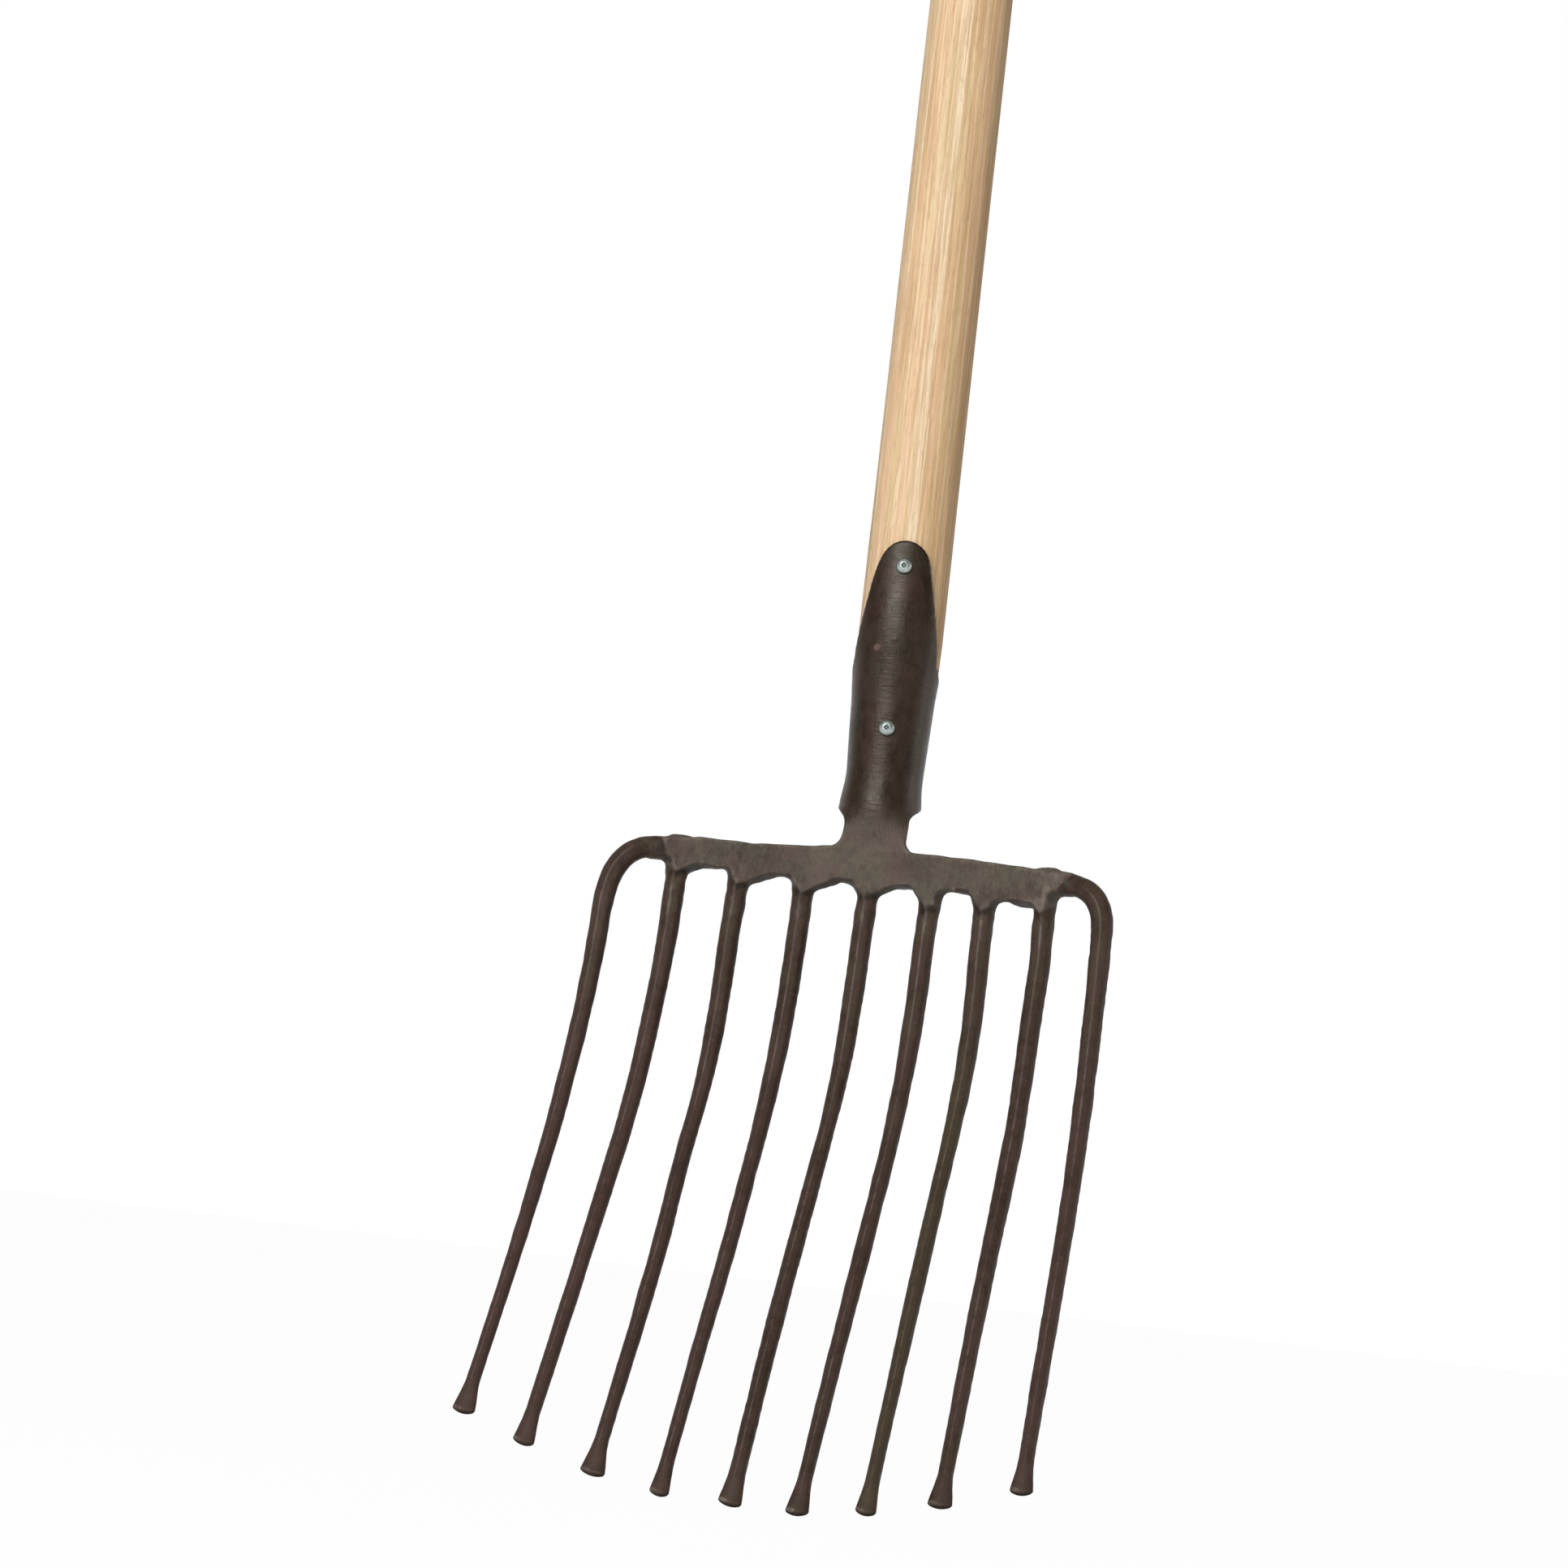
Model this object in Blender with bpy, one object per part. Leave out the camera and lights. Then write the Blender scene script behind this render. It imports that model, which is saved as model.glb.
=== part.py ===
# Stone fork: nine round tines let into a dished, forged crossbar, whose neck is rolled into an
# open socket with a front strap, screwed to a long straight ash handle.
#
# Working frame: the handle's axis is the Z axis, the front (hollow side) of the fork faces -Y,
# and height 0 is the top edge of the crossbar at its middle. At the end the whole fork is moved
# so that its origin is the bottom centre of its box. Lengths are in metres, angles in degrees.

import math

import bmesh
import bpy
import numpy as np
from mathutils import Vector

# Clearance between pieces that touch, and the angle from which a corner is drawn sharp
GAP = 0.0003
CREASE = 38.0

# Handle
HANDLE_LENGTH = 1.350
HANDLE_RADIUS = 0.019
HANDLE_FOOT_HEIGHT = 0.031
HANDLE_FOOT_RADIUS = 0.0146
HANDLE_FOOT_CHAMFER = 0.0012
FITTED_RADIUS = 0.0165
TAPER_TOP = 0.074
SHOULDER_TOP = 0.096
BUTT_ROUND = 0.009
HANDLE_SIDES = 32

# Socket and strap, rolled from one plate
SHEET = 0.0021
SEAM_GAP = 0.003
STRAP_TOP = 0.1395
STRAP_NOSE_RADIUS = 0.0127
STRAP_FLARE = 15.0
MOUTH_TOP = 0.0875
SEAM_TOP = 0.064
SEAM_FOOT = 0.0285
FOOT_FLARE = 0.0008
PLATE_SEGMENTS = 24

# How many degrees the plate and its screws are turned to the right of the crossbar's middle
PLATE_TURN = 5.0

# Neck
NECK_HALF_WIDTH = 0.0137
NECK_FILLET = 0.0065
NECK_TOP = 0.007
NECK_FLAT_TOP = 0.002
NECK_ROUND_FOOT = 0.021
NECK_THICKNESS = 0.005
NECK_SET = 0.0005
NECK_STEP = 0.0003
NECK_ROOT_DEPTH = 0.005

# Crossbar
BAR_HEIGHT = 0.0158
BAR_THICKNESS = 0.009
BAR_DISH_RADIUS = 0.182
BAR_DROP = 0.0075
BAR_EDGE = 0.001
ARCH_DEPTH = 0.0055
SLOPE_HEIGHT = 0.0017
SLOPE_DEPTH = 0.005
LAP_LENGTH = 0.0081
LAP_HALF_WIDTH = 0.0115

# Height of the bar at the crown of each arch between the inner tines, from left to right
ARCH_CROWNS = (0.0135, 0.0143, 0.0156, 0.0158, 0.0150, 0.0160)

# Ends of the crossbar, outside the outermost inner tines
FACE_END = 0.0075
END_SLANT = 0.0015
END_SETBACK = 0.0032
SADDLE_END = 0.010
SADDLE_WALL = 0.0004

# Tines
TINE_PITCH = 0.0275
ROOT_RADIUS = 0.00475
TIP_RADIUS = 0.0030
TINE_LENGTH = 0.3178
TINE_ARC = 0.0346
TINE_SKEW = 0.0033
TINE_INSET = 0.0086
TINE_HEAD_ROOM = 0.002
TINE_PROUD = 0.0015
LEAN_ROOT = 7.0
LEAN_TIP = 36.8
BEND_START = 0.041
BEND_END = 0.147
FLARE_LENGTH = 0.016
FLARE_HALF_WIDTH = 0.0047
FLARE_HALF_DEPTH = 0.0024
TIP_ROUND = 0.0018
TIP_EDGE_HALF_WIDTH = 0.0026
TIP_EDGE_HALF_DEPTH = 0.0008
TINE_SIDES = 12

# How far each tine's root is off its even place, and how many degrees the tine is set
# sideways, from the left tine to the right one, as the smith left them
TINE_SHIFTS = (-0.0004, -0.0004, -0.0028, -0.0008, 0.0003, 0.0014, -0.0005, -0.0014, -0.0018)
TINE_SPLAYS = (0.65, -0.4, 0.5, -0.2, -0.5, -0.8, -0.6, -0.2, 1.0)

# Outer tines, which leave the ends of the bar sideways and turn down; the left corner is longer
CORNER_REACH = 0.020
LEFT_CORNER_FALL = 0.032
RIGHT_CORNER_FALL = 0.020
CORNER_INSET = 0.0076
CORNER_LEVEL = 0.0043
CORNER_BUTT_ROOM = 0.0007

# Screws
SCREW_RADIUS = 0.00195
SCREW_LENGTH = 0.028
SCREW_POINT_LENGTH = 0.005
SCREW_POINT_RADIUS = 0.0003
SCREW_HEAD_RADIUS = 0.0036
SCREW_HEAD_HEIGHT = 0.0026
SCREW_SIDES = 16
RECESS_LENGTH = 0.0034
RECESS_WIDTH = 0.0008
RECESS_DEPTH = 0.0013
STRAP_SCREW_HEIGHT = 0.1275
SOCKET_SCREW_HEIGHT = 0.0548

LAST = len(TINE_SHIFTS) - 1
FLARE_SLOPE = math.tan(math.radians(STRAP_FLARE))
ROOT_SLOPE = math.tan(math.radians(LEAN_ROOT))
BAR_FACE = HANDLE_FOOT_RADIUS + GAP + SHEET + NECK_SET
LAP_TIP = BAR_HEIGHT - SLOPE_HEIGHT + LAP_LENGTH


def clear_scene():
    for item in list(bpy.data.objects):
        bpy.data.objects.remove(item, do_unlink=True)


def ease(value):
    """Smooth step: 0 below 0, 1 above 1, and a soft S between."""
    value = np.clip(value, 0.0, 1.0)
    return value * value * (3.0 - 2.0 * value)


def make_finish(name, colour, roughness, metallic):
    finish = bpy.data.materials.new(name)
    finish.use_nodes = True
    shader = finish.node_tree.nodes["Principled BSDF"]
    shader.inputs["Base Color"].default_value = (*colour, 1.0)
    shader.inputs["Roughness"].default_value = roughness
    shader.inputs["Metallic"].default_value = metallic
    finish.diffuse_color = (*colour, 1.0)
    return finish


def loft(name, rings, origin=(0.0, 0.0, 0.0), finish=None):
    """Skin a closed body over a row of closed rings, and cap its two ends."""
    body = bmesh.new()
    places = np.asarray(rings) - np.asarray(origin)
    loops = [[body.verts.new(point) for point in ring] for ring in places]
    for low, high in zip(loops, loops[1:]):
        for index, corner in enumerate(low):
            after = (index + 1) % len(low)
            body.faces.new((corner, low[after], high[after], high[index]))
    body.faces.new(loops[0])
    body.faces.new(loops[-1])
    bmesh.ops.recalc_face_normals(body, faces=body.faces)
    mesh = bpy.data.meshes.new(name)
    body.to_mesh(mesh)
    body.free()
    mesh.shade_smooth()
    mesh.set_sharp_from_angle(angle=math.radians(CREASE))
    if finish:
        mesh.materials.append(finish)
    piece = bpy.data.objects.new(name, mesh)
    piece.location = origin
    bpy.context.collection.objects.link(piece)
    return piece


def combine(piece, tool, operation):
    """Join a tool body to a piece or cut it away, and keep the tool itself out of the model."""
    modifier = piece.modifiers.new(tool.name, "BOOLEAN")
    modifier.operation = operation
    modifier.solver = "EXACT"
    modifier.object = tool
    tool.hide_render = True
    tool.display_type = "WIRE"


def settle(piece):
    """Keep the joined and cut shape as the piece's own mesh, with its new corners sharp."""
    graph = bpy.context.evaluated_depsgraph_get()
    mesh = bpy.data.meshes.new_from_object(piece.evaluated_get(graph))
    piece.modifiers.clear()
    piece.data = mesh
    mesh.set_sharp_from_angle(angle=math.radians(CREASE))


def ring_at(centre, across, through, sides):
    """A closed elliptic ring: its centre and its two half axes."""
    turn = np.arange(sides)[:, None] * (2.0 * math.pi / sides)
    return centre + np.cos(turn) * across + np.sin(turn) * through


def turned_rings(heights, radii, sides):
    """Rings of a body turned round the Z axis."""
    return [ring_at(np.array([0.0, 0.0, height]), np.array([radius, 0.0, 0.0]),
                    np.array([0.0, radius, 0.0]), sides)
            for height, radius in zip(heights, radii)]


# Handle

def handle_radius(height):
    """Full round, then stepped in at the socket's mouth, then tapered to the foot."""
    step = ease((height - TAPER_TOP) / (SHOULDER_TOP - TAPER_TOP))
    fitted = FITTED_RADIUS + (HANDLE_RADIUS - FITTED_RADIUS) * step
    share = np.clip((TAPER_TOP - height) / (TAPER_TOP - HANDLE_FOOT_HEIGHT), 0.0, 1.0)
    return fitted - (FITTED_RADIUS - HANDLE_FOOT_RADIUS) * share


def fitted_heights():
    """Where the handle's outline turns, which the plate on it follows."""
    return np.linspace(TAPER_TOP, SHOULDER_TOP, 7)


def make_handle(finish):
    top = HANDLE_FOOT_HEIGHT + HANDLE_LENGTH
    shaft = np.unique(np.concatenate([
        [HANDLE_FOOT_HEIGHT + HANDLE_FOOT_CHAMFER], fitted_heights(),
        np.linspace(SHOULDER_TOP, top - BUTT_ROUND, 4)]))
    turn = np.linspace(0.0, math.pi / 2, 7)[1:]
    heights = np.concatenate([
        [HANDLE_FOOT_HEIGHT], shaft, top - BUTT_ROUND + BUTT_ROUND * np.sin(turn)])
    radii = np.concatenate([
        [HANDLE_FOOT_RADIUS - HANDLE_FOOT_CHAMFER], handle_radius(shaft),
        HANDLE_RADIUS - BUTT_ROUND + BUTT_ROUND * np.cos(turn)])
    return loft("handle", turned_rings(heights, radii, HANDLE_SIDES), finish=finish)


# Socket, strap and neck: one plate

def socket_radius(height):
    """Outer radius of the rolled plate: handle, clearance and plate, belled at its foot."""
    rise = (height - NECK_ROUND_FOOT) / (HANDLE_FOOT_HEIGHT - NECK_ROUND_FOOT)
    return handle_radius(height) + GAP + SHEET + FOOT_FLARE * (1.0 - ease(rise))


def strap_half_width(height):
    """A round nose, then straight flanks that flare down to the mouth."""
    drop = STRAP_TOP - height
    slant = math.radians(STRAP_FLARE)
    meet = STRAP_NOSE_RADIUS * (1.0 - math.sin(slant))
    nose = math.sqrt(max(STRAP_NOSE_RADIUS ** 2 - (STRAP_NOSE_RADIUS - drop) ** 2, 0.0))
    flank = STRAP_NOSE_RADIUS * math.cos(slant) + FLARE_SLOPE * (drop - meet)
    return nose if drop < meet else flank


def plate_half_width(height):
    """Half the plate's width, measured round it, from the strap's nose down to the bar."""
    wrapped = math.pi * socket_radius(height) - SEAM_GAP / 2
    strap = strap_half_width(height)
    mouth = strap + (wrapped - strap) * ease((MOUTH_TOP - height) / (MOUTH_TOP - SEAM_TOP))
    rise = max(height - NECK_TOP, 0.0) / (SEAM_FOOT - NECK_TOP)
    wing = NECK_HALF_WIDTH + (wrapped - NECK_HALF_WIDTH) * ease(rise ** 2)
    below = min(max(NECK_FILLET - height, 0.0), NECK_FILLET)
    fillet = NECK_FILLET - math.sqrt(NECK_FILLET ** 2 - below ** 2)
    return min(mouth, wing) + fillet


def plate_ring(height):
    """Section of the plate at one height: round at the socket, flat at the bar."""
    share = ease((height - NECK_FLAT_TOP) / (NECK_ROUND_FOOT - NECK_FLAT_TOP))
    radius = socket_radius(height)
    bend = share / radius - (1.0 - share) / BAR_DISH_RADIUS
    front = share * radius + (1.0 - share) * (BAR_FACE - NECK_STEP)
    thin = ease((height - NECK_TOP) / (HANDLE_FOOT_HEIGHT - NECK_TOP))
    thickness = NECK_THICKNESS + (SHEET - NECK_THICKNESS) * thin
    half_width = plate_half_width(height)
    middle = radius * math.radians(PLATE_TURN)
    run = np.linspace(middle - half_width, middle + half_width, PLATE_SEGMENTS + 1)
    turn = run * bend
    x = run * np.sinc(turn / math.pi)
    y = run * turn / 2.0 * np.sinc(turn / (2.0 * math.pi)) ** 2 - front
    outer = np.stack([x, y], axis=1)
    inner = outer - thickness * np.stack([np.sin(turn), -np.cos(turn)], axis=1)
    section = np.concatenate([outer, inner[::-1]])
    return np.column_stack([section, np.full(len(section), height)])


def plate_heights():
    """Heights of the plate's sections, closest together where its outline turns."""
    nose = STRAP_NOSE_RADIUS * (1.0 - np.cos(np.radians(np.linspace(90.0, 12.0, 8))))
    return np.unique(np.concatenate([
        [-NECK_ROOT_DEPTH],
        NECK_FILLET * (1.0 - np.sin(np.radians([90.0, 75.0, 60.0, 40.0, 20.0]))),
        np.linspace(NECK_FILLET, NECK_ROUND_FOOT, 7),
        np.linspace(NECK_ROUND_FOOT, SEAM_FOOT, 4),
        np.linspace(SEAM_FOOT, SEAM_TOP, 4),
        np.linspace(SEAM_TOP, MOUTH_TOP, 15),
        fitted_heights(),
        np.linspace(SHOULDER_TOP, STRAP_TOP - STRAP_NOSE_RADIUS, 7),
        STRAP_TOP - nose]))


# Crossbar

def tine_angle(index):
    """Angle round the dish at which a tine's root stands."""
    place = (index - LAST / 2) * TINE_PITCH + TINE_SHIFTS[index]
    return math.asin(place / (BAR_DISH_RADIUS + TINE_INSET))


def leaned_angle(index, depth):
    """The same, lower down, where the tine's lean has carried it outwards round the dish."""
    angle = tine_angle(index)
    return angle + ROOT_SLOPE * depth * math.sin(angle) / (BAR_DISH_RADIUS + TINE_INSET)


def bar_level(angle):
    """Height of the bar's top edge, which falls away towards its ends."""
    outermost = math.asin(LAST / 2 * TINE_PITCH / (BAR_DISH_RADIUS + TINE_INSET))
    return -BAR_DROP * (angle / outermost) ** 2


def dish_point(angle, inset, height):
    """A point at an angle round the dish, so far behind the bar's front face."""
    radius = BAR_DISH_RADIUS + inset
    centre = -BAR_FACE - BAR_DISH_RADIUS
    return np.array([radius * math.sin(angle), centre + radius * math.cos(angle), height])


def bar_roots():
    """Places along the bar where the inner tines leave it."""
    depth = BAR_HEIGHT + ARCH_DEPTH / 2
    return [leaned_angle(index, depth) * BAR_DISH_RADIUS for index in range(1, LAST)]


def bar_stations(roots):
    """Places of the bar's sections: across each tine and its lap, then up each arch."""
    lap = ROOT_RADIUS * np.array([0.0, 0.3, 0.65, 1.0])
    arch = np.array([0.06, 0.2, 0.4, 0.68, 1.0])
    outer = np.concatenate([
        ROOT_RADIUS * np.array([0.15, 0.45, 0.8, 1.0]),
        [ROOT_RADIUS + 0.06 * (FACE_END - ROOT_RADIUS), FACE_END, FACE_END + END_SLANT, SADDLE_END]])
    places = [roots[0] - step for step in outer] + [roots[-1] + step for step in outer]
    for root in roots:
        places += [root + side * step for step in lap for side in (-1, 1)]
    for left, right in zip(roots, roots[1:]):
        reach = (right - left) / 2 - ROOT_RADIUS
        places += [left + ROOT_RADIUS + reach * share for share in arch]
        places += [right - ROOT_RADIUS - reach * share for share in arch]
    return sorted(set(round(place, 7) for place in places))


def arch_edge(crown, share):
    """Lower edge of the bar from a tine's side (share 0) up a round shoulder to the crown."""
    fall = 1.0 - math.sqrt(1.0 - (1.0 - share) ** 2)
    return crown + (BAR_HEIGHT + ARCH_DEPTH - crown) * fall


def inner_section(apart, reach, crown):
    """Drop of the face's edge and of the bar's edge, between two tines that are let into it."""
    arch = crown - SLOPE_HEIGHT
    flat = arch + (LAP_TIP - arch) * max(1.0 - apart / LAP_HALF_WIDTH, 0.0)
    if apart < ROOT_RADIUS:
        tip = LAP_TIP + BAR_EDGE
        edge = tip + (BAR_HEIGHT + ARCH_DEPTH - tip) * apart / ROOT_RADIUS
    else:
        edge = arch_edge(crown, min((apart - ROOT_RADIUS) / (reach - ROOT_RADIUS), 1.0))
    return min(flat, edge - BAR_EDGE), edge


def end_section(apart):
    """The same outside the last inner tine: a slanted end, then a saddle under the outer rod."""
    flat, edge = inner_section(apart, SADDLE_END, BAR_HEIGHT)
    slanted = LAP_TIP * (1.0 - apart / (FACE_END + BAR_EDGE))
    if apart >= ROOT_RADIUS:
        crown = CORNER_LEVEL + ROOT_RADIUS + GAP + SADDLE_WALL
        edge = arch_edge(crown, (apart - ROOT_RADIUS) / (SADDLE_END - ROOT_RADIUS))
    return max(min(flat, slanted), 2.0 * BAR_EDGE), edge


def bar_ring(place, roots):
    """Section of the bar: flat face, slope under it, and the back, which stops at the arches."""
    apart = min(abs(place - root) for root in roots)
    gap = int(np.searchsorted(roots, place))
    ended = 0.0
    if 0 < gap < len(roots):
        reach = (roots[gap] - roots[gap - 1]) / 2
        flat, edge = inner_section(apart, reach, ARCH_CROWNS[gap - 1])
    else:
        flat, edge = end_section(apart)
        ended = min(max((apart - FACE_END) / END_SLANT, 0.0), 1.0)
    front = END_SETBACK * ended
    top = CORNER_LEVEL * ended
    flat = max(flat, top + 2.0 * BAR_EDGE)
    back = min(edge, BAR_HEIGHT)
    outline = (
        (front + BAR_EDGE, top), (front, top + BAR_EDGE), (front, flat), (SLOPE_DEPTH, edge),
        (BAR_THICKNESS - BAR_EDGE, back), (BAR_THICKNESS, back - BAR_EDGE),
        (BAR_THICKNESS, top + BAR_EDGE), (BAR_THICKNESS - BAR_EDGE, top))
    angle = place / BAR_DISH_RADIUS
    return [dish_point(angle, inset, bar_level(angle) - drop) for inset, drop in outline]


def make_head(finish):
    """The rolled plate and the bar, forged in one."""
    roots = bar_roots()
    head = loft("fork_head", [plate_ring(height) for height in plate_heights()], finish=finish)
    bar = loft("bar_blank", [bar_ring(place, roots) for place in bar_stations(roots)])
    combine(head, bar, "UNION")
    return head


# Tines

def tine_length(index):
    """Length from the bar's top edge: the tips lie on a shallow arc, lower on the right."""
    share = 2.0 * index / LAST - 1.0
    return TINE_LENGTH + TINE_SKEW * share - TINE_ARC * share ** 2


def tine_top(index):
    """Where a rod begins: below the bar's top edge, or proud of it on the two that show."""
    return -TINE_PROUD if index in (1, LAST - 1) else TINE_HEAD_ROOM


def tine_runs(index):
    """Distances along a tine at which it has a section."""
    length = tine_length(index)
    turn = np.radians([0.0, 25.0, 50.0, 75.0, 90.0])
    return np.unique(np.concatenate([
        np.linspace(tine_top(index), BEND_START, 3),
        np.linspace(BEND_START, BEND_END, 10),
        np.linspace(BEND_END, length - FLARE_LENGTH, 4),
        np.linspace(length - FLARE_LENGTH, length - TIP_ROUND, 5),
        length - TIP_ROUND + TIP_ROUND * np.sin(turn)]))


def tine_curve(run):
    """Forward reach and drop of a tine after each run along it from the bar's top edge."""
    fine = np.linspace(0.0, TINE_LENGTH, 641)
    share = np.clip((fine - BEND_START) / (BEND_END - BEND_START), 0.0, 1.0)
    lean = np.radians(LEAN_ROOT + (LEAN_TIP - LEAN_ROOT) * share)
    step = np.diff(fine, prepend=0.0)
    above = np.minimum(run, 0.0)
    start = math.radians(LEAN_ROOT)
    reach = np.interp(run, fine, np.cumsum(np.sin(lean) * step)) + above * math.sin(start)
    drop = np.interp(run, fine, np.cumsum(np.cos(lean) * step)) + above * math.cos(start)
    return reach, drop


def hanging_line(index, run, root):
    """Centre line of the part of a tine that hangs down from its root."""
    reach, drop = tine_curve(run)
    sideways = math.tan(math.radians(TINE_SPLAYS[index])) * drop
    return root + np.stack([sideways, -reach, -drop], axis=1)


def corner_of(index):
    """Side of an outer tine, the fall of its corner and the angle where the corner begins."""
    side = 1 if index else -1
    corner_fall = RIGHT_CORNER_FALL if index else LEFT_CORNER_FALL
    begin = tine_angle(index) - side * CORNER_REACH / (BAR_DISH_RADIUS + CORNER_INSET)
    return side, corner_fall, begin


def corner_line(index, start):
    """Centre line of an outer tine: a leg out of the bar's end and a quarter oval down."""
    side, corner_fall, corner_angle = corner_of(index)
    radius = BAR_DISH_RADIUS + CORNER_INSET
    begin = leaned_angle(index - side, CORNER_LEVEL + ROOT_RADIUS) + side * start / radius
    top = bar_level(corner_angle)
    splay = math.tan(math.radians(TINE_SPLAYS[index]))
    leg = dish_point(begin, CORNER_INSET, bar_level(begin) - CORNER_LEVEL)
    line = [leg]
    for turn in np.radians(np.linspace(0.0, 81.0, 8)):
        angle = tine_angle(index) - side * CORNER_REACH * (1.0 - math.sin(turn)) / radius
        fall = corner_fall * (1.0 - math.cos(turn))
        point = dish_point(angle, CORNER_INSET, top - CORNER_LEVEL - fall)
        line.append(point + np.array([splay * fall, -ROOT_SLOPE * fall, 0.0]))
    drops = top - np.array(line)[:, 2]
    return np.array(line), np.maximum(drops, 0.0)


def outer_line(index):
    """Corner, then the hanging part, which carries on from it with the same lean."""
    turned, drops = corner_line(index, ROOT_RADIUS + CORNER_BUTT_ROOM)
    _, corner_fall, corner_angle = corner_of(index)
    below = (CORNER_LEVEL + corner_fall) / math.cos(math.radians(LEAN_ROOT))
    run = np.append(below, tine_runs(index)[tine_runs(index) > below + ROOT_RADIUS])
    splay = math.tan(math.radians(TINE_SPLAYS[index]))
    root = dish_point(tine_angle(index), CORNER_INSET, bar_level(corner_angle))
    root += np.array([-splay * CORNER_LEVEL, ROOT_SLOPE * CORNER_LEVEL, 0.0])
    return np.concatenate([turned, hanging_line(index, run, root)]), np.append(drops, run)


def tine_section(run, length):
    """Half width and half depth: slow taper, tip hammered wide and flat, its edge rounded."""
    radius = ROOT_RADIUS + (TIP_RADIUS - ROOT_RADIUS) * np.clip(run / length, 0.0, 1.0)
    spread = np.clip((run - length + FLARE_LENGTH) / FLARE_LENGTH, 0.0, 1.0) ** 1.5
    width = radius + (FLARE_HALF_WIDTH - TIP_RADIUS) * spread
    depth = radius + (FLARE_HALF_DEPTH - TIP_RADIUS) * spread
    past = np.clip((run - length + TIP_ROUND) / TIP_ROUND, 0.0, 1.0)
    rounding = np.sqrt(1.0 - past ** 2)
    width = TIP_EDGE_HALF_WIDTH + (width - TIP_EDGE_HALF_WIDTH) * rounding
    depth = TIP_EDGE_HALF_DEPTH + (depth - TIP_EDGE_HALF_DEPTH) * rounding
    return width, depth


def tine_rings(line, run, length, slack=0.0):
    """Sections square to the centre line, their wide way across the fork."""
    along = np.gradient(line, axis=0)
    along /= np.linalg.norm(along, axis=1)[:, None]
    through = np.array([0.0, 1.0, 0.0]) - along * along[:, 1:2]
    through /= np.linalg.norm(through, axis=1)[:, None]
    across = np.cross(along, through)
    width, depth = tine_section(run, length)
    return [ring_at(centre, side * (half + slack), back * (thick + slack), TINE_SIDES)
            for centre, side, back, half, thick in zip(line, across, through, width, depth)]


def make_tine(index, finish):
    """One rod, with its root as its origin."""
    angle = tine_angle(index)
    root = dish_point(angle, TINE_INSET, bar_level(angle))
    run = tine_runs(index)
    line = hanging_line(index, run, root)
    if index in (0, LAST):
        line, run = outer_line(index)
    rings = tine_rings(line, run, tine_length(index))
    return loft(f"tine_{index + 1}", rings, origin=line[0], finish=finish)


def make_seat(index):
    """The groove that a rod lies in: the rod's own start, grown by the clearance."""
    angle = tine_angle(index)
    root = dish_point(angle, TINE_INSET, bar_level(angle))
    run = np.array([tine_top(index) - GAP, BEND_START])
    line = hanging_line(index, run, root)
    if index in (0, LAST):
        line, run = corner_line(index, ROOT_RADIUS)
    return loft(f"seat_{index + 1}", tine_rings(line, run, tine_length(index), GAP))


# Screws

def screw_rings(slack, head):
    """Point and shank of a wood screw, then the outline above the head's seat."""
    heights = [-SCREW_LENGTH - slack, -SCREW_LENGTH + SCREW_POINT_LENGTH, 0.0]
    radii = [SCREW_POINT_RADIUS + slack, SCREW_RADIUS + slack, SCREW_RADIUS + slack]
    return turned_rings(heights + [height for height, _ in head],
                        radii + [radius for _, radius in head], SCREW_SIDES)


def place_screw(piece, height):
    """Stand a screw's seat on the middle of the plate, at a height."""
    turn = math.radians(PLATE_TURN)
    away = socket_radius(height) + GAP
    piece.location = (away * math.sin(turn), -away * math.cos(turn), height)
    piece.rotation_euler = (math.pi / 2, 0.0, turn)


def make_screw(name, height, finish):
    """Round head with a cross recess."""
    turns = np.radians([0.0, 20.0, 40.0, 60.0, 78.0])
    head = [(SCREW_HEAD_HEIGHT * math.sin(turn), SCREW_HEAD_RADIUS * math.cos(turn))
            for turn in turns]
    screw = loft(name, screw_rings(0.0, head), finish=finish)
    place_screw(screw, height)
    for number, (long, wide) in enumerate(((1, 0), (0, 1))):
        half_x = (RECESS_LENGTH if long else RECESS_WIDTH) / 2
        half_y = (RECESS_LENGTH if wide else RECESS_WIDTH) / 2
        corners = np.array([[-half_x, -half_y], [half_x, -half_y], [half_x, half_y], [-half_x, half_y]])
        levels = (SCREW_HEAD_HEIGHT - RECESS_DEPTH, SCREW_HEAD_HEIGHT + RECESS_DEPTH)
        slot = loft(f"{name}_slot_{number}",
                    [np.column_stack([corners, np.full(4, level)]) for level in levels])
        place_screw(slot, height)
        combine(screw, slot, "DIFFERENCE")
    return screw


def make_screw_hole(name, height):
    """Hole through the plate and on into the wood, as deep as the screw."""
    hole = loft(name, screw_rings(GAP, [(SCREW_HEAD_RADIUS, SCREW_RADIUS + GAP)]))
    place_screw(hole, height)
    return hole


def centre_on_floor(pieces):
    """Hang everything on one empty, whose place puts the bottom centre of the box at 0."""
    frame = bpy.data.objects.new("stone_fork", None)
    bpy.context.collection.objects.link(frame)
    for item in list(bpy.data.objects):
        if item is not frame:
            item.parent = frame
    bpy.context.view_layer.update()
    graph = bpy.context.evaluated_depsgraph_get()
    corners = np.array([
        piece.matrix_world @ Vector(corner)
        for piece in pieces for corner in piece.evaluated_get(graph).bound_box])
    low, high = corners.min(axis=0), corners.max(axis=0)
    frame.location = (-(low[0] + high[0]) / 2, -(low[1] + high[1]) / 2, -low[2])


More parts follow.
